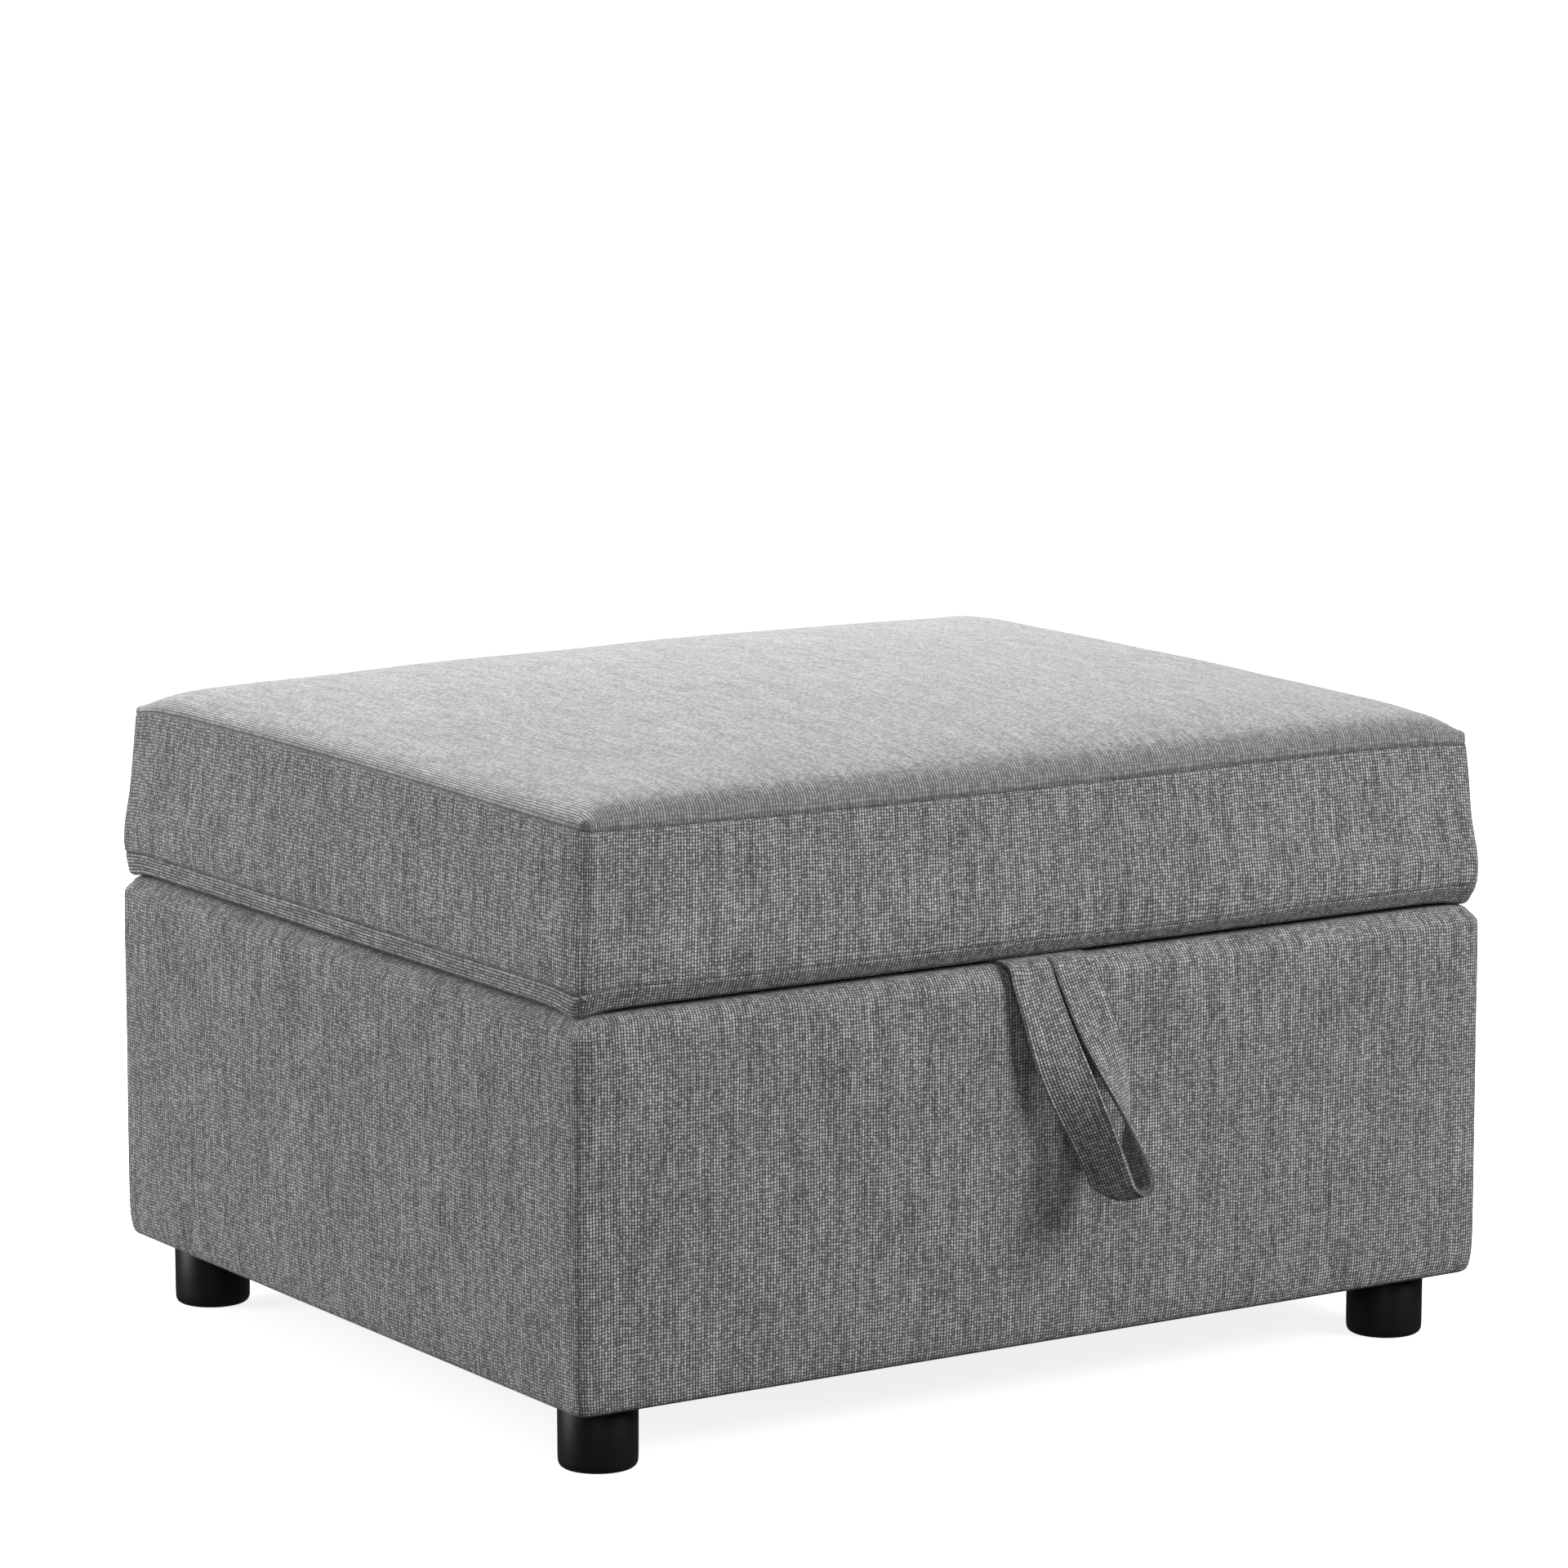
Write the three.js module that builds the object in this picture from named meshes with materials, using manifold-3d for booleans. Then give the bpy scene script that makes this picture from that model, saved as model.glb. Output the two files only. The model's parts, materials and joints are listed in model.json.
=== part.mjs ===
// Upholstered storage ottoman with a hinged, crowned lid. Millimetres, +Z up, front towards -Y.
// The origin is on the floor, under the middle of the whole object's bounding box.
import * as THREE from 'three';
import { mergeVertices } from 'three/addons/utils/BufferGeometryUtils.js';
import Module from 'manifold-3d';

const wasm = await Module();
wasm.setup();

// Driving dimensions
const width = 780;
const depth = 658;
const footHeight = 48;
const boxHeight = 281;
const lidSideHeight = 128;
const crownRise = 36;

const fabricThick = 2;
const paddingThick = 10;
const panelThick = 15;
const liningThick = 1.5;
const gap = 0.3;
const splitGap = 4;
const cornerRadius = 13;
const edgeRadius = 9;
const overshoot = 20;
const bandHeight = 17;
const rimPadding = 4;
const rimTurn = 37;

const footRadius = 28.5;
const footInsetX = 44;
const footInsetY = 48;
const studRadius = 4;
const studDepth = 29;

const hingeX = 250;
const hingeLeafWidth = 64;
const hingeLeafThick = 1.5;
const hingeLeafReach = 32;
const knuckleRadius = 3;
const pinRadius = 1.5;
const pinBehind = 3.5;
const knuckleCount = 5;
const knucklePlay = 0.2;
const leafPlay = 0.1;
const screwRadius = 1.6;
const screwHeadRadius = 3.2;
const screwHeadHeight = 1.1;
const screwLength = 13;
const screwInset = 20;
const screwSpacing = 36;

const stayRadius = 110;
const stayDrop = 12;
const stayStart = THREE.MathUtils.degToRad(24);
const lidOpening = THREE.MathUtils.degToRad(80);
const stayArmThick = 2.5;
const stayArmHalf = 9;
const stayPinRadius = 2.7;
const stayHeadRadius = 5;
const stayPlateThick = 2.3;
const stayFootHalf = 14;
const stayFootReach = 16;
const stayFootThick = 1.6;
const stayPlateHalf = 20;
const stayHeadThick = 1.2;

const strapWidth = 36;
const strapThick = 4;
const strapDrop = 138;
const strapOut = 50;
const strapLean = 34;
const strapHalfGap = 6;
const strapRootOut = 2;
const strapTabDepth = 28;

// Heights and insets that follow from them. An inset is measured inwards from the outer face.
const splitZ = footHeight + boxHeight;
const boxTop = splitZ - splitGap / 2;
const lidBottom = splitZ + splitGap / 2;
const seamZ = splitZ + lidSideHeight;
const bandTop = lidBottom + bandHeight;
const paddingInset = fabricThick + gap;
const panelInset = paddingInset + paddingThick + gap;
const panelInner = panelInset + panelThick;
const rimInner = panelInner + gap + fabricThick;
const panelBottom = footHeight + fabricThick + gap;
const panelTop = boxTop - fabricThick - 2 * gap - rimPadding;
const rimTurnDown = boxTop - rimTurn;
const blockHeight = 24;
const blockSize = 70;
const floorThick = 12;
const floorBottom = panelBottom + blockHeight + gap;
const floorTop = floorBottom + floorThick;
const turnUnder = 30;
const boardInset = 4;
const boardThick = 12;
const boardBottom = lidBottom + fabricThick + gap;
const foamBottom = boardBottom + boardThick + gap;
const hingeY = depth / 2 + pinBehind;
const strapRootZ = splitZ - 1;
const strapReach = strapRootOut + strapOut + strapWidth / 2;
const shiftY = (strapReach - pinBehind - knuckleRadius) / 2;

const fabric = { color: 0x8e8e8c, roughness: 0.95, metalness: 0 };
const foam = { color: 0xe9e2cf, roughness: 0.9, metalness: 0 };
const plywood = { color: 0xcdb488, roughness: 0.7, metalness: 0 };
const lining = { color: 0x1d1d1f, roughness: 0.95, metalness: 0 };
const blackPlastic = { color: 0x1a1a1a, roughness: 0.35, metalness: 0 };
const steel = { color: 0xa4a6a8, roughness: 0.35, metalness: 1 };

const ottoman = new THREE.Group();
ottoman.name = 'storage_ottoman';
ottoman.position.y = shiftY;

const sides = [
  { side: 'front', normal: [0, -1] },
  { side: 'back', normal: [0, 1] },
  { side: 'left', normal: [-1, 0] },
  { side: 'right', normal: [1, 0] },
];
const corners = [
  { corner: 'front_left', x: -1, y: -1 },
  { corner: 'front_right', x: 1, y: -1 },
  { corner: 'back_left', x: -1, y: 1 },
  { corner: 'back_right', x: 1, y: 1 },
];

// Solids

function solid(geometry) {
  const bare = geometry.clone();
  bare.deleteAttribute('normal');
  bare.deleteAttribute('uv');
  const merged = mergeVertices(bare, 1e-4);
  return new wasm.Manifold(new wasm.Mesh({
    numProp: 3,
    vertProperties: new Float32Array(merged.attributes.position.array),
    triVerts: new Uint32Array(merged.index.array),
  }));
}

function addMesh(name, shape, look, group = ottoman) {
  const cut = shape.getMesh();
  const geometry = new THREE.BufferGeometry();
  geometry.setAttribute('position', new THREE.BufferAttribute(cut.vertProperties, 3));
  geometry.setIndex(new THREE.BufferAttribute(cut.triVerts, 1));
  const mesh = new THREE.Mesh(geometry, new THREE.MeshStandardMaterial(look));
  mesh.name = name;
  group.add(mesh);
  return mesh;
}

function box(x0, x1, y0, y1, z0, z1) {
  const geometry = new THREE.BoxGeometry(x1 - x0, y1 - y0, z1 - z0);
  return solid(geometry.translate((x0 + x1) / 2, (y0 + y1) / 2, (z0 + z1) / 2));
}

// A box set in from the outer faces by the same inset all round.
function core(inset, z0, z1) {
  const halfX = width / 2 - inset;
  const halfY = depth / 2 - inset;
  return box(-halfX, halfX, -halfY, halfY, z0, z1);
}

function roundedOutline(halfX, halfY, radius) {
  const outline = new THREE.Shape();
  outline.absarc(halfX - radius, halfY - radius, radius, 0, Math.PI / 2);
  outline.absarc(-halfX + radius, halfY - radius, radius, Math.PI / 2, Math.PI);
  outline.absarc(-halfX + radius, -halfY + radius, radius, Math.PI, Math.PI * 1.5);
  outline.absarc(halfX - radius, -halfY + radius, radius, Math.PI * 1.5, Math.PI * 2);
  return outline;
}

// The outer shape set in by an inset, with rounded upright corners and, with an edge, rounded rims.
function roundedBlock(inset, z0, z1, edge = 0) {
  const radius = cornerRadius - Math.min(inset, cornerRadius - edge - 1);
  const outline = roundedOutline(width / 2 - inset, depth / 2 - inset, radius);
  const geometry = new THREE.ExtrudeGeometry(outline, {
    depth: z1 - z0 - 2 * edge,
    curveSegments: 3,
    bevelEnabled: edge > 0,
    bevelSegments: 2,
    bevelSize: edge,
    bevelThickness: edge,
    bevelOffset: -edge,
  });
  return solid(geometry.translate(0, 0, z0 + edge));
}

function cylinder(radius, from, to, segments = 12) {
  const start = new THREE.Vector3(...from);
  const along = new THREE.Vector3(...to).sub(start);
  const geometry = new THREE.CylinderGeometry(radius, radius, along.length(), segments);
  const turn = new THREE.Quaternion().setFromUnitVectors(
    new THREE.Vector3(0, 1, 0), along.clone().normalize());
  geometry.applyQuaternion(turn);
  const middle = start.addScaledVector(along, 0.5);
  return solid(geometry.translate(middle.x, middle.y, middle.z));
}

// The part of a ring-shaped cover or padding on one side, mitred at the upright corners.
function sidePart(shape, normal) {
  const [nx, ny] = normal;
  const run = nx === 0 ? width / 2 : depth / 2;
  const reach = nx === 0 ? depth / 2 : width / 2;
  const inner = 60;
  const tall = 600;
  const trim = gap / 2;
  const outline = new THREE.Shape([
    new THREE.Vector2(-run - overshoot + trim, reach + overshoot),
    new THREE.Vector2(-run + inner + trim, reach - inner),
    new THREE.Vector2(run - inner - trim, reach - inner),
    new THREE.Vector2(run + overshoot - trim, reach + overshoot),
  ]);
  const geometry = new THREE.ExtrudeGeometry(outline, { depth: tall, bevelEnabled: false });
  geometry.rotateZ(Math.atan2(-nx, ny));
  return shape.intersect(solid(geometry));
}

// Base box: plywood panels, corner blocks and floor

function addPanels() {
  const outX = width / 2 - panelInset;
  const outY = depth / 2 - panelInset;
  const inX = outX - panelThick;
  const inY = outY - panelThick;
  const sideY = inY - gap;
  const front = box(-outX, outX, -outY, -inY, panelBottom, panelTop);
  const back = box(-outX, outX, inY, outY, panelBottom, panelTop).subtract(baseScrewHoles());
  addMesh('front_panel', front, plywood);
  addMesh('back_panel', back, plywood);
  addMesh('left_panel', box(-outX, -inX, -sideY, sideY, panelBottom, panelTop), plywood);
  addMesh('right_panel', box(inX, outX, -sideY, sideY, panelBottom, panelTop), plywood);
  addMesh('floor_panel', core(panelInner + gap, floorBottom, floorTop), plywood);
}

function addCornerBlocks() {
  for (const { corner, x, y } of corners) {
    const outX = x * (width / 2 - panelInner - gap);
    const outY = y * (depth / 2 - panelInner - gap);
    const inX = outX - x * blockSize;
    const inY = outY - y * blockSize;
    const block = box(Math.min(inX, outX), Math.max(inX, outX), Math.min(inY, outY),
      Math.max(inY, outY), panelBottom, panelBottom + blockHeight);
    addMesh(`corner_block_${corner}`, block.subtract(studHole(x, y)), plywood);
  }
}

// Feet

function footCentre(x, y) {
  return [x * (width / 2 - footInsetX), y * (depth / 2 - footInsetY)];
}

function studHole(x, y) {
  const [cx, cy] = footCentre(x, y);
  const bottom = footHeight - studDepth - 1;
  return cylinder(studRadius + gap, [cx, cy, bottom], [cx, cy, panelBottom + blockHeight + 1]);
}

function addFeet() {
  const top = footHeight - gap;
  const profile = [
    [0, 0], [footRadius - 6, 0], [footRadius - 2.5, 1.2], [footRadius - 1, 4],
    [footRadius, top], [0, top],
  ].map(([r, z]) => new THREE.Vector2(r, z));
  for (const { corner, x, y } of corners) {
    const [cx, cy] = footCentre(x, y);
    const geometry = new THREE.LatheGeometry(profile, 24).rotateX(Math.PI / 2);
    const foot = solid(geometry.translate(cx, cy, 0)).subtract(studHole(x, y));
    addMesh(`foot_${corner}`, foot, blackPlastic);
    const studTop = panelBottom + blockHeight - 2;
    const stud = cylinder(studRadius, [cx, cy, footHeight - studDepth], [cx, cy, studTop]);
    addMesh(`foot_stud_${corner}`, stud, steel);
  }
}

// Base upholstery, four padded sides sewn at the upright corners

function addBasePadding() {
  const outer = roundedBlock(paddingInset, panelBottom, boxTop - paddingInset, edgeRadius - 2);
  const ring = outer
    .subtract(core(panelInset - gap, 0, panelTop + gap))
    .subtract(core(panelInner, 0, boxTop + overshoot))
    .subtract(baseScrewHoles());
  for (const { side, normal } of sides) {
    addMesh(`base_padding_${side}`, sidePart(ring, normal), foam);
  }
}

function addBaseCover() {
  const outer = roundedBlock(0, footHeight, boxTop, edgeRadius);
  const hollow = roundedBlock(fabricThick, footHeight + fabricThick, boxTop - fabricThick,
    edgeRadius - fabricThick);
  const turnedDown = core(panelInner + gap, rimTurnDown, boxTop + overshoot);
  const ring = outer
    .subtract(hollow.subtract(turnedDown))
    .subtract(core(rimInner, rimTurnDown - overshoot, boxTop + overshoot))
    .subtract(core(turnUnder, 0, footHeight + fabricThick + 1))
    .subtract(baseScrewHoles());
  for (const { side, normal } of sides) {
    addMesh(`base_cover_${side}`, sidePart(ring, normal), fabric);
  }
}

function addLinings() {
  const liningTop = rimTurnDown - gap;
  const walls = core(panelInner + gap, floorTop + gap, liningTop)
    .subtract(core(panelInner + gap + liningThick, 0, boxTop));
  addMesh('storage_lining', walls, lining);
  const floorInset = panelInner + 2 * gap + liningThick;
  addMesh('floor_lining', core(floorInset, floorTop + gap, floorTop + gap + liningThick), lining);
  let cover = core(turnUnder + gap, footHeight, footHeight + liningThick);
  for (const { x, y } of corners) {
    cover = cover.subtract(studHole(x, y));
  }
  addMesh('dust_cover', cover, lining);
}

// Lid cushion

// A solid of the lid's outline with its top crowned, set in on every face by an inset.
function lidSolid(inset, z0) {
  const halfX = width / 2 - inset;
  const halfY = depth / 2 - inset;
  const top = seamZ - inset;
  const geometry = new THREE.BoxGeometry(2 * halfX, 2 * halfY, top - z0, 8, 8, 1);
  const points = geometry.attributes.position;
  for (let i = 0; i < points.count; i += 1) {
    if (points.getZ(i) > 0) {
      const u = points.getX(i) / halfX;
      const v = points.getY(i) / halfY;
      const rise = crownRise * (1 - u ** 4) * (1 - v ** 4);
      points.setZ(i, points.getZ(i) + rise);
    }
  }
  const crowned = solid(geometry.translate(0, 0, (z0 + top) / 2));
  return crowned.intersect(roundedBlock(inset, z0 - 1, top + crownRise + 1));
}

function addLidCushion() {
  const skin = lidSolid(0, lidBottom).subtract(lidSolid(fabricThick, lidBottom + fabricThick));
  const topJoint = seamZ - fabricThick;
  const upper = core(-overshoot, topJoint + gap / 2, seamZ + crownRise + overshoot);
  const middle = core(-overshoot, bandTop + gap / 2, topJoint - gap / 2);
  const lower = core(-overshoot, lidBottom - overshoot, bandTop - gap / 2);
  addMesh('lid_top_cover', skin.intersect(upper), fabric);
  for (const { side, normal } of sides) {
    addMesh(`lid_boxing_${side}`, sidePart(skin.intersect(middle), normal), fabric);
  }
  const band = skin.intersect(lower)
    .subtract(core(turnUnder, 0, lidBottom + fabricThick + 0.5))
    .subtract(lidScrewHoles());
  addMesh('lid_band', band, fabric);
  addMesh('lid_lining', core(turnUnder + gap, lidBottom, lidBottom + liningThick), lining);
  const board = roundedBlock(boardInset, boardBottom, boardBottom + boardThick);
  addMesh('lid_board', board.subtract(lidScrewHoles()), plywood);
  addMesh('lid_foam', lidSolid(fabricThick + gap, foamBottom), foam);
}

// Hinges: two butt hinges folded flat between the rim and the lid, knuckles behind

function screwXs(hinge) {
  return [-1, 1].map((end) => hinge * hingeX + end * screwSpacing / 2);
}

function screwHoles(z0, z1) {
  let holes = null;
  for (const hinge of [-1, 1]) {
    for (const x of screwXs(hinge)) {
      const y = depth / 2 - screwInset;
      const hole = cylinder(screwRadius + gap, [x, y, z0], [x, y, z1], 10);
      holes = holes ? holes.add(hole) : hole;
    }
  }
  return holes;
}

function baseScrewHoles() {
  return screwHoles(boxTop - screwLength - 2, boxTop + 1);
}

function lidScrewHoles() {
  return screwHoles(lidBottom - 1, lidBottom + screwLength + 1);
}

// A countersunk screw along +Z, its head's face at z = 0 and its shank below.
function screwSolid() {
  const profile = [
    [0, -screwLength], [screwRadius * 0.5, -screwLength + 1.5], [screwRadius, -screwLength + 4],
    [screwRadius, -screwHeadHeight - 0.2], [screwHeadRadius, 0], [0, 0],
  ].map(([r, z]) => new THREE.Vector2(r, z));
  return solid(new THREE.LatheGeometry(profile, 8).rotateX(Math.PI / 2));
}

function countersink() {
  const profile = [
    [0, -4], [screwRadius + gap, -4], [screwRadius + gap, -screwHeadHeight - 0.2],
    [screwHeadRadius + gap, 0], [screwHeadRadius + gap, 1], [0, 1],
  ].map(([r, z]) => new THREE.Vector2(r, z));
  return solid(new THREE.LatheGeometry(profile, 8).rotateX(Math.PI / 2));
}

// One leaf with its knuckles, lying flat in the split. The pin axis is the X axis.
function leafSolid(isLid) {
  const half = hingeLeafWidth / 2;
  const bottom = isLid ? gap / 2 + leafPlay : -hingeLeafThick - gap / 2 - leafPlay;
  const knuckle = hingeLeafWidth / knuckleCount;
  let leaf = box(-half, half, -hingeLeafReach - pinBehind, -pinRadius, bottom, bottom + hingeLeafThick);
  for (let i = 0; i < knuckleCount; i += 1) {
    const x0 = -half + i * knuckle;
    const isMine = (i % 2 === 1) === isLid;
    if (isMine) {
      const from = [x0 + knucklePlay, 0, 0];
      const to = [x0 + knuckle - knucklePlay, 0, 0];
      leaf = leaf.add(cylinder(knuckleRadius, from, to));
    } else {
      leaf = leaf.subtract(box(x0 - knucklePlay, x0 + knuckle + knucklePlay,
        -knuckleRadius - 0.5, 1, -5, 5));
    }
  }
  leaf = leaf.subtract(cylinder(pinRadius + gap, [-half - 1, 0, 0], [half + 1, 0, 0]));
  const faceZ = isLid ? bottom : bottom + hingeLeafThick;
  for (const end of [-1, 1]) {
    const cutter = countersink();
    const turned = isLid ? cutter.rotate([180, 0, 0]) : cutter;
    const y = -screwInset - pinBehind;
    leaf = leaf.subtract(turned.translate([end * screwSpacing / 2, y, faceZ]));
  }
  return leaf;
}

function addHinges() {
  for (const [side, sign] of [['left', -1], ['right', 1]]) {
    const hinge = new THREE.Group();
    hinge.position.set(sign * hingeX, hingeY, splitZ);
    ottoman.add(hinge);
    addMesh(`hinge_base_leaf_${side}`, leafSolid(false), steel, hinge);
    addMesh(`hinge_lid_leaf_${side}`, leafSolid(true), steel, hinge);
    const half = hingeLeafWidth / 2;
    addMesh(`hinge_pin_${side}`, cylinder(pinRadius, [-half, 0, 0], [half, 0, 0]), steel, hinge);
    for (const [place, end] of [['outer', sign], ['inner', -sign]]) {
      const x = end * screwSpacing / 2;
      const y = -screwInset - pinBehind;
      const baseScrew = addMesh(`hinge_base_screw_${side}_${place}`, screwSolid(), steel, hinge);
      baseScrew.position.set(x, y, -gap / 2 - leafPlay);
      const lidScrew = addMesh(`hinge_lid_screw_${side}_${place}`, screwSolid(), steel, hinge);
      lidScrew.position.set(x, y, gap / 2 + leafPlay);
      lidScrew.rotation.x = Math.PI;
    }
  }
}

// Lid stays. Each arm turns on the lid and slides on a pin in the box. Both pivots are equally far
// from the hinge axis, so the arm always turns half as far as the lid.

const stayFirstAngle = Math.asin(stayDrop / stayRadius);
const stayOuterX = width / 2 - rimInner - 0.4;
const stayArmX = stayOuterX - stayPlateThick - 1.4;

function stayPoint(angle) {
  return [hingeY - stayRadius * Math.cos(angle), splitZ - stayRadius * Math.sin(angle)];
}

function stayArmSolid() {
  const first = 2 * stayRadius * Math.sin(stayStart / 2);
  const last = 2 * stayRadius * Math.sin((stayStart + lidOpening) / 2);
  const outline = new THREE.Shape();
  outline.absarc(0, 0, stayArmHalf, Math.PI / 2, Math.PI * 1.5);
  outline.absarc(last + 3, 0, stayArmHalf, -Math.PI / 2, Math.PI / 2);
  const slot = new THREE.Path();
  slot.absarc(first - 0.5, 0, stayPinRadius + gap, Math.PI / 2, Math.PI * 1.5);
  slot.absarc(last + 0.5, 0, stayPinRadius + gap, -Math.PI / 2, Math.PI / 2);
  const pivot = new THREE.Path();
  pivot.absarc(0, 0, stayPinRadius + gap, 0, Math.PI * 2);
  outline.holes.push(slot, pivot);
  return solid(new THREE.ExtrudeGeometry(outline, {
    depth: stayArmThick, curveSegments: 6, bevelEnabled: false,
  }));
}

function stayLidBracket(sign, y, z) {
  const arm = sign * stayArmX;
  const near = arm - sign * (stayArmThick + gap);
  const far = near - sign * stayPlateThick;
  const foot = far - sign * stayFootReach;
  const plateTop = lidBottom - gap;
  const span = (a, b) => [Math.min(a, b), Math.max(a, b)];
  return box(...span(far, near), y - 9, y + 9, z - 8, plateTop)
    .add(box(...span(foot, near), y - stayFootHalf, y + stayFootHalf,
      plateTop - stayFootThick, plateTop))
    .add(cylinder(stayPinRadius, [near - sign * 1, y, z], [arm + sign * 1, y, z]))
    .add(cylinder(stayHeadRadius, [arm + sign * gap, y, z], [arm + sign * stayHeadThick, y, z]));
}

function stayBaseBracket(sign, y, z) {
  const wall = sign * stayOuterX;
  const plate = wall - sign * stayPlateThick;
  const arm = sign * stayArmX;
  const armInside = arm - sign * (stayArmThick + gap);
  const span = [Math.min(wall, plate), Math.max(wall, plate)];
  return box(...span, y - stayPlateHalf, y + stayPlateHalf, z - stayFootHalf, z + stayFootHalf)
    .add(cylinder(stayPinRadius, [plate + sign * 1, y, z], [armInside - sign * 1, y, z]))
    .add(cylinder(stayHeadRadius, [armInside, y, z], [armInside - sign * stayHeadThick, y, z]));
}

function addStays() {
  const [ay, az] = stayPoint(stayFirstAngle);
  const [by, bz] = stayPoint(stayFirstAngle + stayStart);
  for (const [side, sign] of [['left', -1], ['right', 1]]) {
    addMesh(`stay_lid_bracket_${side}`, stayLidBracket(sign, ay, az), steel);
    addMesh(`stay_base_bracket_${side}`, stayBaseBracket(sign, by, bz), steel);
    const arm = addMesh(`stay_arm_${side}`, stayArmSolid(), steel);
    const armOuter = sign > 0 ? stayArmX - stayArmThick : -stayArmX;
    arm.position.set(armOuter, ay, az);
    const along = new THREE.Vector3(0, by - ay, bz - az).normalize();
    const across = new THREE.Vector3(1, 0, 0).cross(along);
    arm.setRotationFromMatrix(
      new THREE.Matrix4().makeBasis(along, across, new THREE.Vector3(1, 0, 0)));
  }
}

// Pull strap: a band folded into a loop. Its ends lie side by side under the lid's front edge,
// and each leg turns a quarter round on its way down, so the bend at the bottom stands edge-on.

function strapSections() {
  const legSteps = 9;
  const bendSteps = 4;
  const half = strapWidth / 2;
  const leg = (t, hand) => {
    const turn = THREE.MathUtils.smoothstep(t, 0, 0.85) * Math.PI / 2;
    const edge = 0.6 + strapHalfGap * t;
    const offset = edge + half * Math.cos(turn) + strapThick / 2 * Math.sin(turn);
    return {
      centre: new THREE.Vector3(strapLean * t + hand * offset, -strapOut * t, -strapDrop * t),
      frontEdge: new THREE.Vector3(-hand * Math.cos(turn), -Math.sin(turn), 0),
      faceOut: new THREE.Vector3(hand * Math.sin(turn), -Math.cos(turn), 0),
    };
  };
  const sections = [];
  for (let i = 0; i <= legSteps; i += 1) {
    sections.push(leg(i / legSteps, -1));
  }
  const radius = 0.6 + strapHalfGap + strapThick / 2;
  for (let i = 1; i < bendSteps; i += 1) {
    const angle = Math.PI * i / bendSteps;
    const out = new THREE.Vector3(-Math.cos(angle), 0, -Math.sin(angle));
    sections.push({
      centre: new THREE.Vector3(strapLean, -strapOut, -strapDrop).addScaledVector(out, radius),
      frontEdge: new THREE.Vector3(0, -1, 0),
      faceOut: out,
    });
  }
  for (let i = legSteps; i >= 0; i -= 1) {
    sections.push(leg(i / legSteps, 1));
  }
  return sections;
}

function strapSolid() {
  const sections = strapSections();
  const positions = [];
  for (const { centre, frontEdge, faceOut } of sections) {
    for (const [along, out] of [[-1, -1], [1, -1], [1, 1], [-1, 1]]) {
      const point = centre.clone()
        .addScaledVector(frontEdge, along * strapWidth / 2)
        .addScaledVector(faceOut, out * strapThick / 2);
      positions.push(point.x, point.y, point.z);
    }
  }
  const triangles = [];
  const quad = (a, b, c, d) => triangles.push(a, b, c, a, c, d);
  for (let i = 0; i < sections.length - 1; i += 1) {
    for (let k = 0; k < 4; k += 1) {
      const next = (k + 1) % 4;
      quad(4 * i + k, 4 * i + next, 4 * i + 4 + next, 4 * i + 4 + k);
    }
  }
  const end = 4 * (sections.length - 1);
  quad(3, 2, 1, 0);
  quad(end, end + 1, end + 2, end + 3);
  const geometry = new THREE.BufferGeometry();
  geometry.setAttribute('position', new THREE.Float32BufferAttribute(positions, 3));
  geometry.setIndex(triangles);
  return solid(geometry);
}

function addPullStrap() {
  const front = -depth / 2;
  const half = strapWidth + 0.6;
  const tab = box(-half, half, front + 0.5, front + strapTabDepth, splitZ - 0.6, lidBottom - gap);
  addMesh('pull_strap_tab', tab, fabric);
  const strap = addMesh('pull_strap', strapSolid(), fabric);
  strap.position.set(0, front - strapRootOut, strapRootZ);
}

addPanels();
addCornerBlocks();
addFeet();
addBasePadding();
addBaseCover();
addLinings();
addLidCushion();
addHinges();
addStays();
addPullStrap();

export default ottoman;
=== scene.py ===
import json
import math
import bmesh
import bpy
from mathutils import Euler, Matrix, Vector, noise


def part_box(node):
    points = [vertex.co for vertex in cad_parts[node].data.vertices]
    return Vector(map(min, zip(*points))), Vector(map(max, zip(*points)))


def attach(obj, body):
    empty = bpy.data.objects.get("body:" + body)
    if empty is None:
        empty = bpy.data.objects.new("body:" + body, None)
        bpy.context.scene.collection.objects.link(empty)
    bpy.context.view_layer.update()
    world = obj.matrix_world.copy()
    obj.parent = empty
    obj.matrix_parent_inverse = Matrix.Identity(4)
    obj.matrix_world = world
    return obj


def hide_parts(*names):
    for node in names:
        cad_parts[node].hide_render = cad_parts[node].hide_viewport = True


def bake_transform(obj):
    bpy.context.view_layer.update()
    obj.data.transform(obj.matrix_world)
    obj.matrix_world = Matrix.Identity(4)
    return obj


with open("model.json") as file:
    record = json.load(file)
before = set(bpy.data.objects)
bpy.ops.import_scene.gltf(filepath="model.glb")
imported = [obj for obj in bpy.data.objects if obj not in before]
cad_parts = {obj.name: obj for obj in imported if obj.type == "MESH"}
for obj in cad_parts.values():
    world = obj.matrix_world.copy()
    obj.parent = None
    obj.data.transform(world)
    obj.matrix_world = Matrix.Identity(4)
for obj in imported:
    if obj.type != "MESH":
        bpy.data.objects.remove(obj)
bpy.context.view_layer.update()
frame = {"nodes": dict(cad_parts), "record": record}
scene = bpy.context.scene

mm = 0.001
shell = {
    "seamTuck": 0.3 * mm, "bandTuck": 1 * mm, "seamCrease": 0.7, "seamAllowance": 5 * mm,
    "clothThick": 1.2 * mm, "levels": 1,
}


# ---- small helpers

def newMaterial(name):
    material = bpy.data.materials.new(name)
    material.use_nodes = True
    return material, material.node_tree.nodes, material.node_tree.links


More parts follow.
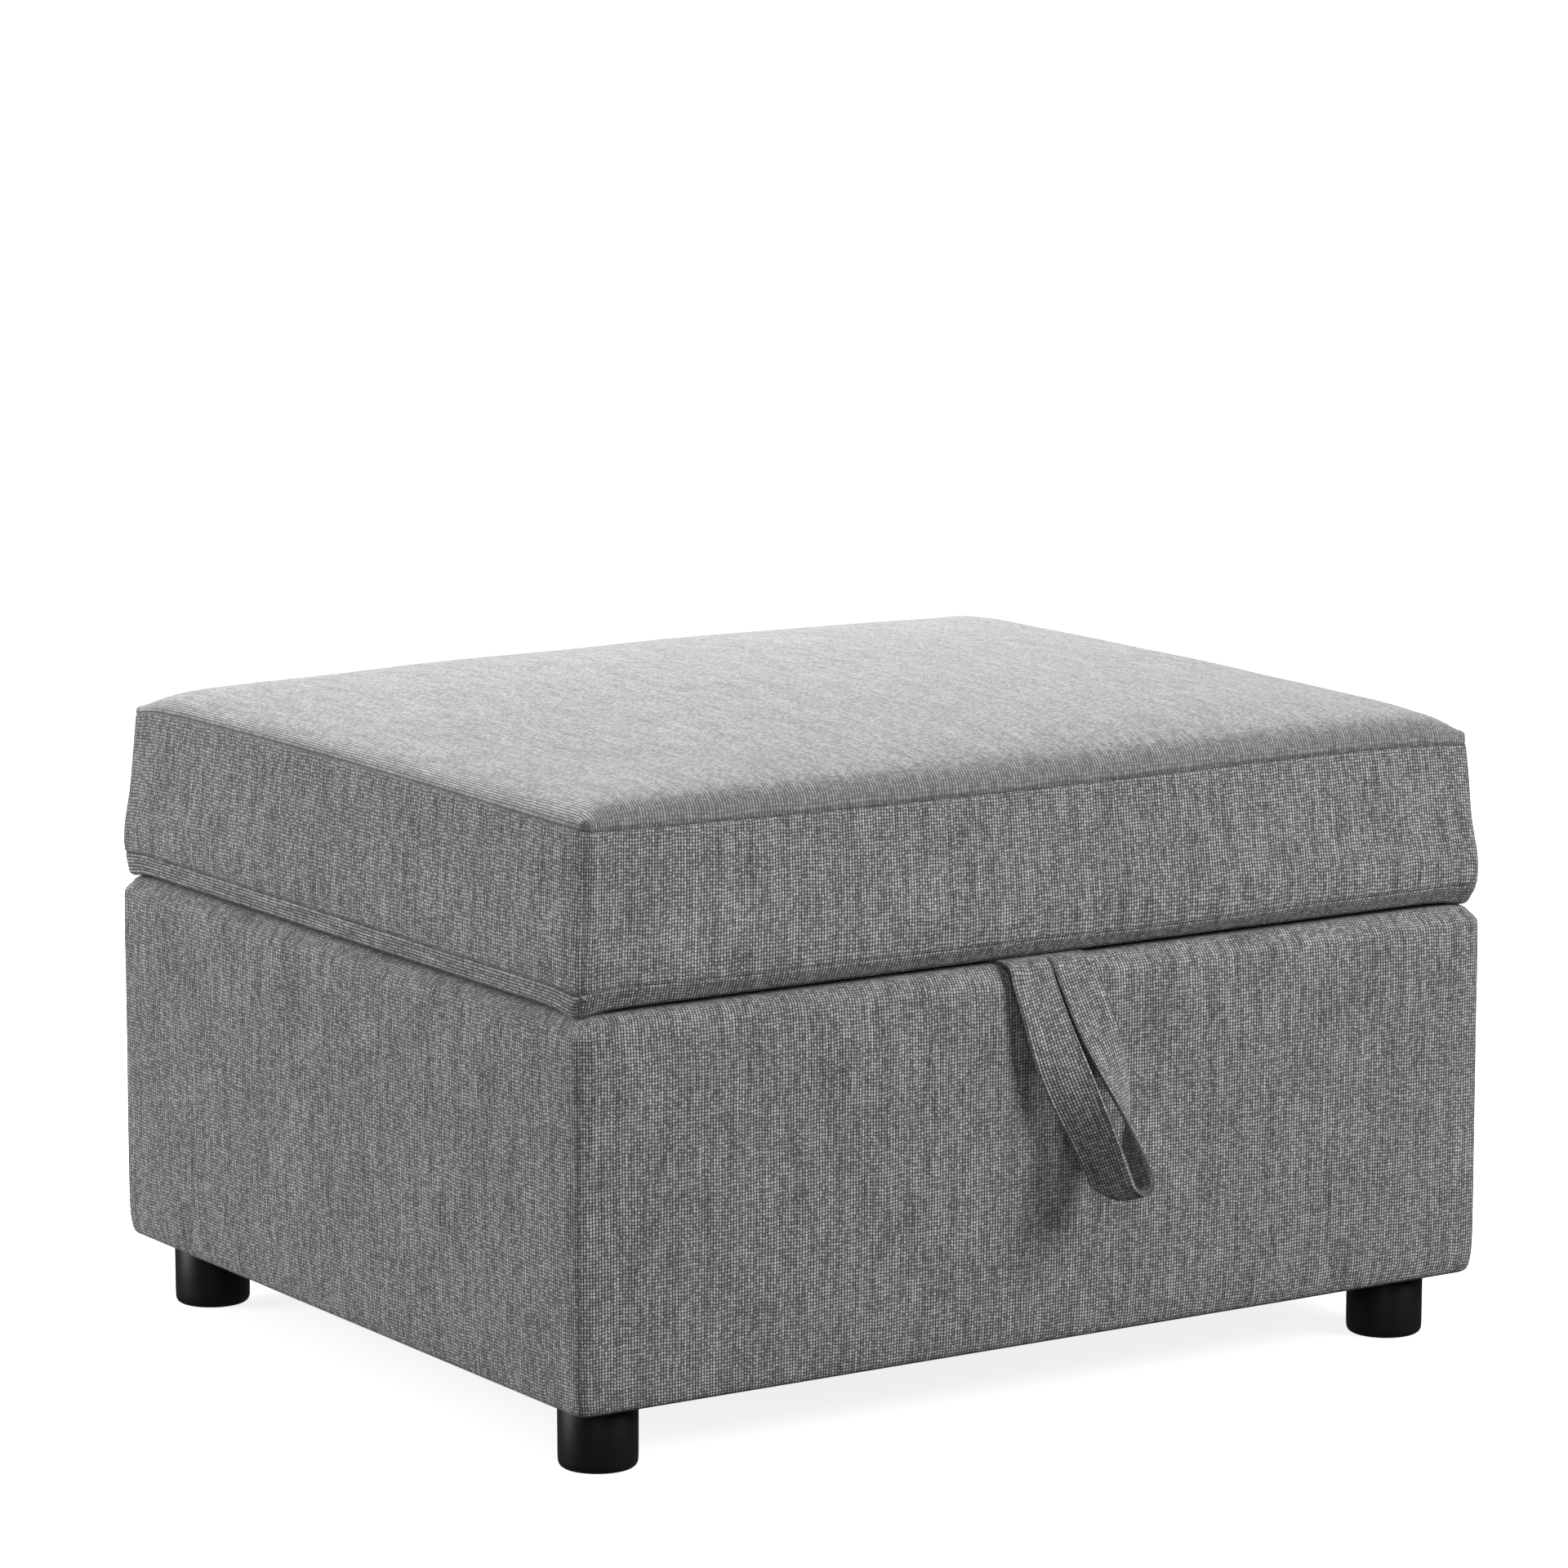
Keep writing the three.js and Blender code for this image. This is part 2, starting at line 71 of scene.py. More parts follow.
def mathNode(nodes, links, operation, a, b=None, c=None, clamp=False):
    node = nodes.new("ShaderNodeMath")
    node.operation = operation
    node.use_clamp = clamp
    for socket, value in zip(node.inputs, (a, b, c)):
        if value is None:
            continue
        if isinstance(value, (int, float)):
            socket.default_value = value
        else:
            links.new(value, socket)
    return node.outputs[0]


def noiseNode(nodes, links, vector, scale, detail=2.0, roughness=0.5):
    node = nodes.new("ShaderNodeTexNoise")
    node.inputs["Scale"].default_value = scale
    node.inputs["Detail"].default_value = detail
    node.inputs["Roughness"].default_value = roughness
    links.new(vector, node.inputs["Vector"])
    return node.outputs["Fac"]


def stretched(nodes, links, vector, scale):
    node = nodes.new("ShaderNodeMapping")
    node.inputs["Scale"].default_value = scale
    links.new(vector, node.inputs["Vector"])
    return node.outputs["Vector"]


def mixColour(nodes, links, factor, a, b):
    node = nodes.new("ShaderNodeMix")
    node.data_type = "RGBA"
    for socket, value in ((node.inputs[0], factor), (node.inputs[6], a), (node.inputs[7], b)):
        if isinstance(value, (int, float)):
            socket.default_value = value
        elif isinstance(value, tuple):
            socket.default_value = (*value, 1)
        else:
            links.new(value, socket)
    return node.outputs[2]


def bump(nodes, links, height, distance, strength=1.0):
    node = nodes.new("ShaderNodeBump")
    node.inputs["Distance"].default_value = distance
    node.inputs["Strength"].default_value = strength
    links.new(height, node.inputs["Height"])
    return node.outputs["Normal"]


# ---- materials

# the sides' cloth: its near-black gap colour is painted shade in the hollows between the threads,
# where grazing light leaves them dark
weave = {
    "rib": 2.35 * mm, "pick": 2.4 * mm, "wobble": 0.5 * mm, "jitter": 0.22,
    "gap": (0.022, 0.0222, 0.0228), "dark": (0.36, 0.362, 0.36), "light": (0.99, 0.985, 0.965),
    "ribSharp": 1.0, "pickSharp": 0.85, "pickDepth": 0.82, "cellSpread": 0.55,
    "fibre": 0.35, "slub": 1.5, "streak": 0.8, "patch": 0.35, "middle": 0.5,
    "bump": 0.55 * mm, "roughness": 0.92, "sheen": 0.12,
}
# a lit copy of the same cloth for the flat top: its gaps carry much less painted shade and its
# threads are painted dimmer, as the top takes the light head on while the sides take it grazing
topLitWeave = {**weave, "gap": (0.12, 0.1204, 0.12), "dark": (0.34, 0.341, 0.34),
            "light": (0.65, 0.648, 0.637), "bump": 0.45 * mm, "pickDepth": 0.6}


def makeWeave(name, look):
    # ribs run along V and picks along U, both in metres on the cloth
    material, nodes, links = newMaterial(name)
    shader = nodes["Principled BSDF"]
    uv = nodes.new("ShaderNodeUVMap")
    uv.uv_map = "cloth"
    flat = uv.outputs["UV"]
    split = nodes.new("ShaderNodeSeparateXYZ")
    links.new(flat, split.inputs[0])
    u, v = split.outputs[0], split.outputs[1]

    def calc(operation, a, b=None, c=None, clamp=False):
        return mathNode(nodes, links, operation, a, b, c, clamp)

    def spread(value, amount, base=0.0):
        return calc("MULTIPLY_ADD", calc("SUBTRACT", value, 0.5), amount, base)

    drift = calc("SUBTRACT", noiseNode(nodes, links, flat, 90, 1), 0.5)
    x = calc("DIVIDE", calc("MULTIPLY_ADD", drift, look["wobble"], u), look["rib"])
    column = calc("FLOOR", x)
    columnNoise = nodes.new("ShaderNodeTexWhiteNoise")
    columnNoise.noise_dimensions = "1D"
    links.new(column, columnNoise.inputs["W"])
    waver = noiseNode(nodes, links, stretched(nodes, links, flat, (60, 25, 1)), 1, 2)
    y = calc("DIVIDE", calc("MULTIPLY_ADD", spread(waver, 1), 4 * mm, v), look["pick"])
    y = spread(columnNoise.outputs["Value"], look["jitter"], y)
    row = calc("FLOOR", y)
    cell = nodes.new("ShaderNodeCombineXYZ")
    links.new(column, cell.inputs[0])
    links.new(row, cell.inputs[1])
    cellNoise = nodes.new("ShaderNodeTexWhiteNoise")
    cellNoise.noise_dimensions = "2D"
    links.new(cell.outputs[0], cellNoise.inputs["Vector"])
    grain = cellNoise.outputs["Value"]
    fibre = noiseNode(nodes, links, stretched(nodes, links, flat, (1500, 1000, 1)), 1, 3, 0.65)

    def hump(value, sharpness):
        return calc("POWER", calc("SINE", calc("MULTIPLY", calc("FRACT", value), math.pi)),
                    sharpness)

    picks = calc("MULTIPLY_ADD", hump(y, look["pickSharp"]), look["pickDepth"],
                 1 - look["pickDepth"])
    height = calc("MULTIPLY", hump(x, look["ribSharp"]), picks)
    height = calc("MULTIPLY", height, spread(grain, look["cellSpread"], 0.9))
    height = spread(fibre, look["fibre"], height)

    slub = noiseNode(nodes, links, stretched(nodes, links, flat, (330, 24, 1)), 1, 2, 0.6)
    streak = noiseNode(nodes, links, stretched(nodes, links, flat, (110, 9, 1)), 1, 2)
    patch = noiseNode(nodes, links, flat, 17, 2)
    tone = spread(patch, look["patch"], look["middle"])
    tone = spread(slub, look["slub"], tone)
    tone = spread(streak, look["streak"], tone)
    tone = calc("ADD", spread(grain, 0.35, tone), 0.0, clamp=True)
    thread = mixColour(nodes, links, tone, look["dark"], look["light"])
    # the hollows of the weave take the gap colour: painted shade between the threads
    lit = calc("MULTIPLY", height, 1.15, clamp=True)
    links.new(mixColour(nodes, links, lit, look["gap"], thread), shader.inputs["Base Color"])
    links.new(bump(nodes, links, height, look["bump"]), shader.inputs["Normal"])
    shader.inputs["Roughness"].default_value = look["roughness"]
    shader.inputs["Specular IOR Level"].default_value = 0.15
    shader.inputs["Sheen Weight"].default_value = look["sheen"]
    shader.inputs["Sheen Roughness"].default_value = 0.45
    return material


plastic = {"colour": (0.005, 0.0051, 0.0054), "roughness": 0.42}


def makePlastic(name, look):
    # satin moulded plastic with a fine grain and faint turning marks
    material, nodes, links = newMaterial(name)
    shader = nodes["Principled BSDF"]
    where = nodes.new("ShaderNodeTexCoord").outputs["Object"]
    grain = noiseNode(nodes, links, where, 900, 3)
    scuff = noiseNode(nodes, links, stretched(nodes, links, where, (20, 20, 260)), 1, 2)
    shader.inputs["Base Color"].default_value = (*look["colour"], 1)
    rough = mathNode(nodes, links, "MULTIPLY_ADD", scuff, 0.16, look["roughness"] - 0.08)
    links.new(rough, shader.inputs["Roughness"])
    links.new(bump(nodes, links, grain, 0.05 * mm, 0.6), shader.inputs["Normal"])
    return material


def makeLining(name):
    # spun-bonded black lining: matte, with the small embossed dots of the real cloth
    material, nodes, links = newMaterial(name)
    shader = nodes["Principled BSDF"]
    where = nodes.new("ShaderNodeTexCoord").outputs["Object"]
    fibre = noiseNode(nodes, links, where, 700, 4, 0.7)
    cells = nodes.new("ShaderNodeTexVoronoi")
    cells.inputs["Scale"].default_value = 420
    cells.inputs["Randomness"].default_value = 0.15
    links.new(where, cells.inputs["Vector"])
    dots = mathNode(nodes, links, "SMOOTH_MIN", cells.outputs["Distance"], 0.5, 0.1)
    colour = mixColour(nodes, links, fibre, (0.006, 0.006, 0.0065), (0.03, 0.03, 0.032))
    links.new(colour, shader.inputs["Base Color"])
    relief = mathNode(nodes, links, "MULTIPLY_ADD", fibre, 0.5, dots)
    links.new(bump(nodes, links, relief, 0.25 * mm), shader.inputs["Normal"])
    shader.inputs["Roughness"].default_value = 0.85
    shader.inputs["Sheen Weight"].default_value = 0.1
    return material


def makePlywood(name):
    # pale birch face with long grain and small knots
    material, nodes, links = newMaterial(name)
    shader = nodes["Principled BSDF"]
    where = nodes.new("ShaderNodeTexCoord").outputs["Object"]
    grain = noiseNode(nodes, links, stretched(nodes, links, where, (6, 90, 90)), 1, 5, 0.6)
    pores = noiseNode(nodes, links, stretched(nodes, links, where, (60, 1100, 1100)), 1, 2, 0.6)
    warm = mixColour(nodes, links, grain, (0.43, 0.29, 0.15), (0.74, 0.58, 0.36))
    colour = mixColour(nodes, links, mathNode(nodes, links, "MULTIPLY", pores, 0.35), warm,
                       (0.3, 0.19, 0.09))
    links.new(colour, shader.inputs["Base Color"])
    links.new(bump(nodes, links, pores, 0.12 * mm), shader.inputs["Normal"])
    rough = mathNode(nodes, links, "MULTIPLY_ADD", grain, 0.2, 0.55)
    links.new(rough, shader.inputs["Roughness"])
    return material


def makeFoam(name):
    # open-celled foam under its wrap of grey polyester wadding
    material, nodes, links = newMaterial(name)
    shader = nodes["Principled BSDF"]
    where = nodes.new("ShaderNodeTexCoord").outputs["Object"]
    cells = nodes.new("ShaderNodeTexVoronoi")
    cells.inputs["Scale"].default_value = 900
    links.new(where, cells.inputs["Vector"])
    stain = noiseNode(nodes, links, where, 12, 3)
    colour = mixColour(nodes, links, stain, (0.24, 0.24, 0.24), (0.34, 0.34, 0.34))
    links.new(colour, shader.inputs["Base Color"])
    links.new(bump(nodes, links, cells.outputs["Distance"], 0.5 * mm), shader.inputs["Normal"])
    shader.inputs["Roughness"].default_value = 0.95
    return material


def makeSteel(name):
    # zinc-plated pressed steel: cool, slightly blotchy, with fine drawing lines
    material, nodes, links = newMaterial(name)
    shader = nodes["Principled BSDF"]
    where = nodes.new("ShaderNodeTexCoord").outputs["Object"]
    blotch = noiseNode(nodes, links, where, 160, 3)
    lines = noiseNode(nodes, links, stretched(nodes, links, where, (2400, 120, 2400)), 1, 2)
    colour = mixColour(nodes, links, blotch, (0.5, 0.51, 0.53), (0.68, 0.69, 0.7))
    links.new(colour, shader.inputs["Base Color"])
    shader.inputs["Metallic"].default_value = 1
    rough = mathNode(nodes, links, "MULTIPLY_ADD", blotch, 0.22, 0.2)
    links.new(rough, shader.inputs["Roughness"])
    links.new(bump(nodes, links, lines, 0.03 * mm, 0.5), shader.inputs["Normal"])
    return material


fabric = makeWeave("grey_chenille", weave)
# the top's copy of the cloth, with its light and shade painted for the top
topLitFabric = makeWeave("grey_chenille_lit_top", topLitWeave)
blackPlastic = makePlastic("satin_black_plastic", plastic)
liningCloth = makeLining("black_lining")
plywood = makePlywood("birch_plywood")
foamStuff = makeFoam("cushion_foam")
steel = makeSteel("zinc_plated_steel")
slotLooks = {
    "upholstery_fabric": fabric, "cushion_foam": foamStuff, "plywood": plywood,
    "lining_cloth": liningCloth, "black_plastic": blackPlastic, "zinc_plated_steel": steel,
}
for part in frame["record"]["subparts"]:
    node = frame["nodes"].get(part["node"])
    if node is not None:
        for materialSlot in node.material_slots:
            materialSlot.link = "OBJECT"
            materialSlot.material = slotLooks[part["material_slot"]]
print("materials ready")


# ---- mesh helpers

def gridCuts(lo, hi, near, step):
    # cuts along one edge: near both ends as listed, evenly in between
    inner = max(near)
    count = max(1, round((hi - lo - 2 * inner) / step))
    middle = [lo + inner + (hi - lo - 2 * inner) * i / count for i in range(count + 1)]
    return sorted({round(p, 6) for p in
                   [lo + n for n in near] + [hi - n for n in near] + middle})


def cutBox(lo, hi, cuts):
    # a box cut into quads, with every vertex's place on the flat box kept beside it
    bm = bmesh.new()
    bmesh.ops.create_cube(bm, size=1)
    bmesh.ops.scale(bm, vec=hi - lo, verts=bm.verts)
    bmesh.ops.translate(bm, vec=(lo + hi) / 2, verts=bm.verts)
    for axis, places in enumerate(cuts):
        normal = Vector((0, 0, 0))
        normal[axis] = 1
        for place in places:
            bmesh.ops.bisect_plane(bm, geom=bm.verts[:] + bm.edges[:] + bm.faces[:],
                                   dist=1e-6, plane_co=normal * place, plane_no=normal)
    flat = bm.verts.layers.float_vector.new("flat")
    for v in bm.verts:
        v[flat] = v.co.copy()
    return bm, flat


def roundBox(p, lo, hi, corner, top, bottom):
    # a point of a sharp box, moved on to the same box with rounded edges
    reach = (corner, corner, top if p.z > (lo.z + hi.z) / 2 else bottom)
    core = p.copy()
    offset = Vector((0, 0, 0))
    for i in range(3):
        if reach[i]:
            core[i] = min(max(p[i], lo[i] + reach[i]), hi[i] - reach[i])
            offset[i] = (p[i] - core[i]) / reach[i]
    if sum(abs(c) > 1e-6 for c in offset) < 2:
        return p.copy()
    offset.normalize()
    return core + Vector(o * r for o, r in zip(offset, reach))


def ripple(p, waves, seed):
    return noise.noise(Vector((p[0] * waves + seed, p[1] * waves - seed, p[2] * waves)))


def flatCentre(face, flat):
    return sum((v[flat] for v in face.verts), Vector((0, 0, 0))) / len(face.verts)


def nearestSide(p, lo, hi):
    gaps = {"front": p.y - lo.y, "back": hi.y - p.y, "left": p.x - lo.x, "right": hi.x - p.x}
    return min(gaps, key=gaps.get)


def meshObject(name, bm, material=None):
    mesh = bpy.data.meshes.new(name)
    bm.to_mesh(mesh)
    obj = bpy.data.objects.new(name, mesh)
    scene.collection.objects.link(obj)
    if material is not None:
        mesh.materials.append(material)
    for polygon in mesh.polygons:
        polygon.use_smooth = True
    return obj


def addFinish(obj, thick, levels):
    if thick:
        solid = obj.modifiers.new("thickness", "SOLIDIFY")
        solid.thickness = thick
        solid.offset = -1
    if levels:
        smooth = obj.modifiers.new("smooth", "SUBSURF")
        smooth.levels = smooth.render_levels = levels


def finishPiece(obj, body, slotName, *nodes):
    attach(obj, body)
    if nodes:
        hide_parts(*nodes)


def unfold(p, lo, hi, side):
    # the cloth's own flat place: along the side, then up it, over the rim and under the base
    into = {"front": p.y - lo.y, "back": hi.y - p.y, "left": p.x - lo.x, "right": hi.x - p.x}
    u = p.x if side in ("front", "back") else p.y
    if p.z > hi.z - 1e-5:
        return u, hi.z + into[side]
    if p.z < lo.z + 1e-5:
        return u, lo.z - into[side]
    return u, p.z


def markSeams(bm, region):
    # a sewn edge lies between two panels
    for e in bm.edges:
        names = {region[f.index] for f in e.link_faces}
        e.seam = len(names) > 1 and None not in names
    return [v for v in bm.verts if any(e.seam for e in v.link_edges)]


def cutPanel(name, shape, wanted, region, flatUv, cloth):
    # one panel of a sewn cover, its sewn edges turned inwards as a seam allowance
    bm = shape.copy()
    flat = bm.verts.layers.float_vector["flat"]
    bmesh.ops.delete(bm, geom=[f for f in bm.faces if region[f.index] != wanted],
                     context="FACES")
    bm.normal_update()
    uvLayer = bm.loops.layers.uv.new("cloth")
    for face in bm.faces:
        centre = flatCentre(face, flat)
        for loop in face.loops:
            loop[uvLayer].uv = flatUv(loop.vert[flat], centre)
    crease = bm.edges.layers.float.new("crease_edge")
    sewn = [e for e in bm.edges if e.is_boundary and e.seam]
    for e in sewn:
        e[crease] = shell["seamCrease"]
    if sewn:
        normals = {tuple(v.co): v.normal.copy() for e in sewn for v in e.verts}
        grown = bmesh.ops.extrude_edge_only(bm, edges=sewn)
        for v in grown["geom"]:
            if isinstance(v, bmesh.types.BMVert):
                v.co -= normals[tuple(v.co)] * shell["seamAllowance"]
    bm.normal_update()
    obj = meshObject(name, bm, cloth)
    bm.free()
    return obj


def inflate(bm, held, look):
    # the stuffing pushes the sewn cover out; held points are sewn or stapled down
    bm.verts.ensure_lookup_table()
    obj = meshObject("stuffing_run", bm)
    group = obj.vertex_groups.new(name="held")
    group.add(held, 1, "REPLACE")
    cloth = obj.modifiers.new("stuffing", "CLOTH")
    settings = cloth.settings
    settings.quality = look["quality"]
    settings.mass = 0.25
    settings.tension_stiffness = settings.compression_stiffness = look["stretch"]
    settings.shear_stiffness = look["stretch"] / 2
    settings.bending_stiffness = look["bend"]
    settings.vertex_group_mass = "held"
    settings.use_pressure = True
    settings.uniform_pressure_force = look["pressure"]
    settings.effector_weights.gravity = 0
    for number in range(1, look["frames"] + 1):
        scene.frame_set(number)
    shaped = obj.evaluated_get(bpy.context.evaluated_depsgraph_get())
    steps = [moved.co - v.co for v, moved in zip(bm.verts, shaped.data.vertices)]
    farthest = max(step.length for step in steps)
    for v, step in zip(bm.verts, steps):
        v.co += step * min(1, look["cap"] / max(farthest, 1e-9))
    scene.frame_set(1)
    bpy.data.objects.remove(obj)
    print(f"stuffing pushed the cover out by up to {farthest / mm:.1f} mm")


# ---- lid cushion

lidLow = Vector(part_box("lid_band")[0])
lidHigh = Vector((*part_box("lid_band")[1][:2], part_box("lid_boxing_front")[1][2] + 2 * mm))
lid = {
    "corner": 9.5 * mm, "bottomEdge": 3.4 * mm, "band": 17.5 * mm, "turnUnder": 30 * mm,
    "topLean": 5 * mm, "proud": 3.4 * mm, "frontTuck": 8.4 * mm, "sideTuck": 1.8 * mm,
    "boardInset": 5 * mm,
    "belly": 1.6 * mm, "rollX": 46 * mm, "rollBack": 60 * mm, "rollFront": 30 * mm,
    "rollRise": 15.5 * mm, "shoulder": 5 * mm, "shoulderReach": 110 * mm,
    "domeRise": 18.4 * mm, "domeX": 2.25, "domeY": 2.8, "seamDip": 5 * mm,
    "seamArch": 3 * mm, "cornerPull": 4 * mm, "cornerReach": 42 * mm,
    "cornerAcross": 60 * mm,
    "rightSink": 9 * mm, "rightReach": 75 * mm, "leftSink": 6 * mm, "leftReach": 22 * mm,
    "tuckReach": 24 * mm, "seamReach": 75 * mm, "bandReach": 17 * mm, "edgeRise": 1 * mm,
    "edgeReach": 9 * mm, "hangReach": 20 * mm, "hangHeight": 50 * mm,
    "crownUnevenness": 1.1 * mm, "sideUnevenness": 0.9 * mm,
    "bandWave": 4 * mm, "bandRise": 4.5 * mm, "cornerDroop": 4.5 * mm, "step": 12.5 * mm,
    "near": [1 * mm, 2.5 * mm, 4.5 * mm, 7 * mm, 10 * mm, 14.5 * mm, 21 * mm, 30 * mm],
    "cloth": {"quality": 6, "stretch": 25, "bend": 1.5, "pressure": 4, "frames": 16,
              "cap": 2.2 * mm},
}


def roll(distance, reach, full=2.0):
    # height of a rolled edge, from 0 at the seam to 1 where the roll ends
    left = 1 - min(distance / reach, 1)
    return (1 - left ** full) ** (1 / full)


def lidPoint(p, lo, hi, bandTop):
    middleY = (lo.y + hi.y) / 2
    half = (hi - lo) / 2
    x, y = p.x, p.y - middleY
    u, w = x / half.x, y / half.y
    onTop = p.z > hi.z - 1e-5
    onFloor = p.z < lo.z + 1e-5
    onFront = abs(w) > 1 - 1e-5
    onSide = abs(u) > 1 - 1e-5
    co = roundBox(p, lo, hi, lid["corner"], 0, lid["bottomEdge"])
    above = max(0, (p.z - bandTop) / (hi.z - bandTop))
    below = max(0, (bandTop - p.z) / lid["band"])
    alongFront, alongSide = 1 - u * u, 1 - w * w
    reachX, reachY = half.x - abs(x), half.y - abs(y)

    # leans in towards the top seam, stands proud over the lower seam, tucks in under it
    swell = math.exp(-((above - 0.12) / 0.22) ** 2) if above > 0 else 0.743 * (1 - 0.4 * below)
    out = lid["proud"] * swell - lid["topLean"] * above ** 1.7
    under = max(0, 1 - min(reachX, reachY) / lid["tuckReach"]) if onFloor else 1
    tuck = lid["frontTuck"] if y < 0 else lid["sideTuck"]
    co.x += (out - lid["sideTuck"] * below) * under * (co.x / half.x)
    co.y += (out - tuck * below) * under * ((co.y - middleY) / half.y)

    # the left side is drawn in towards the front corner
    if x < 0 and y < 0:
        drawn = max(0, 1 - reachY / lid["cornerReach"]) ** 2
        near = max(0, 1 - reachX / lid["cornerAcross"]) ** 2
        co.x += lid["cornerPull"] * drawn * near * (1 if above or onTop else 0.3)

    # the seam along the top dips in front and at the back and arches over the sides
    nearFront = max(0, 1 - reachY / lid["seamReach"]) ** 1.5
    nearSide = max(0, 1 - reachX / lid["seamReach"]) ** 1.5
    share = 1 if onTop else above
    co.z -= lid["seamDip"] * alongFront * nearFront * share
    co.z += lid["seamArch"] * alongSide * nearSide * share

    # the top sinks at the front right corner, and a little at the back left one
    sink = 0
    if x > 0 and y < 0:
        sink = lid["rightSink"] * math.exp(-(reachX + reachY) / lid["rightReach"])
    if x < 0 and y > 0:
        sink = lid["leftSink"] * math.exp(-(reachX + reachY) / lid["leftReach"])
    co.z -= sink * share

    # the lower seam wanders, and the lower edge hangs at the corners and rises in between
    if not onTop:
        nearBand = max(0, 1 - abs(p.z - bandTop) / lid["bandReach"])
        wander = ripple((x, 0, 0.3 if y < 0 else 0.9), 5.5, 3.1)
        if onFront:
            co.z += (lid["bandWave"] * wander - lid["bandRise"] * alongFront) * nearBand
            edge = max(0, 1 - (p.z - lo.z) / lid["edgeReach"])
            co.z += lid["edgeRise"] * alongFront * edge * below
        low = max(0, 1 - (p.z - lo.z) / lid["hangHeight"])
        hang = math.exp(-(reachX ** 2 + reachY ** 2) / lid["hangReach"] ** 2)
        co.z -= lid["cornerDroop"] * hang * low

    # crowned top, bellied sides and small unevenness of the filling
    if onTop:
        rolled = roll(reachY, lid["rollFront"], 3) if y < 0 else roll(reachY, lid["rollBack"])
        fade = math.exp(-(reachY / lid["shoulderReach"]) ** 2) if y < 0 else 0
        crown = (lid["rollRise"] + lid["shoulder"] * fade) * roll(reachX, lid["rollX"]) * rolled
        crown += lid["domeRise"] * (1 - abs(u) ** lid["domeX"]) * (1 - abs(w) ** lid["domeY"])
        calm = roll(reachX, 0.1) * roll(reachY, 0.1)
        co.z += crown + lid["crownUnevenness"] * calm * ripple((x, y, 0), 8, 1.7)
    elif not onFloor:
        face = math.sin(math.pi * min(1, above)) if above > 0 else 0
        uneven = lid["sideUnevenness"] * ripple((x, y, p.z), 13, 5.3) * min(1, 3 * above)
        if onFront:
            co.y += math.copysign(lid["belly"] * face * (1 - abs(u) ** 4) + uneven, w)
        if onSide:
            co.x += math.copysign(lid["belly"] * face * (1 - abs(w) ** 4) + uneven, u)
    return co


def arcTable(middle, axis, lo, hi, bandTop):
    # distance over the crown against flat place, for laying out the top's cloth
    count = 240
    table = []
    last = None
    for i in range(count + 1):
        p = middle.copy()
        p[axis] = lo[axis] + (hi[axis] - lo[axis]) * i / count
        shaped = lidPoint(p, lo, hi, bandTop)
        far = 0 if last is None else table[-1][1] + math.dist(
            (shaped[axis], shaped.z), (last[axis], last.z))
        table.append((p[axis], far))
        last = shaped
    half = table[count // 2][1]
    return [(place, far - half) for place, far in table]


def lookUp(table, place):
    step = table[1][0] - table[0][0]
    i = min(max(int((place - table[0][0]) / step), 0), len(table) - 2)
    share = (place - table[i][0]) / step
    return table[i][1] + (table[i + 1][1] - table[i][1]) * share


def makeLidShape():
    lo, hi = lidLow, lidHigh
    bandTop = lo.z + lid["band"]
    rise = hi.z - bandTop
    zCuts = [lo.z + d * mm for d in (1.2, 2.8, 4.5, 8.5, 12.5)]
    zCuts += [bandTop + d * mm for d in (-1.5, 0, 1.5, 4)]
    zCuts += [bandTop + 4 * mm + (rise - 8 * mm) * i / 9 for i in range(1, 10)]
    zCuts += [hi.z - 1.5 * mm]
    bm, flat = cutBox(lo, hi, [gridCuts(lo.x, hi.x, lid["near"], lid["step"]),
                               gridCuts(lo.y, hi.y, lid["near"], lid["step"]), zCuts])
    for corner in cornersOf(lo, hi):
        mitre(bm, corner, lid["turnUnder"], lo.z)
    for v in bm.verts:
        v[flat] = v.co.copy()
        v.co = lidPoint(v.co, lo, hi, bandTop)
    region = {}
    bm.faces.index_update()
    for f in bm.faces:
        c = flatCentre(f, flat)
        inset = min(c.x - lo.x, hi.x - c.x, c.y - lo.y, hi.y - c.y)
        if c.z > hi.z - 1e-5:
            region[f.index] = "top"
        elif c.z < lo.z + 1e-5:
            region[f.index] = "band" if inset < lid["turnUnder"] else None
        elif c.z < bandTop:
            region[f.index] = "band"
        else:
            region[f.index] = "boxing_" + nearestSide(c, lo, hi)
    sewn = markSeams(bm, region)
    bm.verts.index_update()
    fixed = {v.index for v in sewn}
    fixed |= {v.index for v in bm.verts if v[flat].z < bandTop + 1e-5}
    inflate(bm, sorted(fixed), lid["cloth"])
    return bm, flat, region, sewn


def cornersOf(lo, hi):
    # each upright corner of a box, with the directions that lead into the box
    return [(x, y, signX, signY) for y, signY in ((lo.y, 1), (hi.y, -1))
            for x, signX in ((lo.x, 1), (hi.x, -1))]


def mitre(bm, corner, reach, z):
    # a diagonal cut across the turned-in corner of a cover
    x, y, signX, signY = corner
    faces = [f for f in bm.faces if all(abs(v.co.z - z) < 1e-5 for v in f.verts)
             and abs(f.calc_center_median().x - x) < reach
             and abs(f.calc_center_median().y - y) < reach]
    verts = {v for f in faces for v in f.verts}
    edges = {e for f in faces for e in f.edges}
    bmesh.ops.bisect_plane(bm, geom=list(verts) + list(edges) + faces, dist=1e-6,
                           plane_co=(x, y, z), plane_no=(signX, -signY, 0))


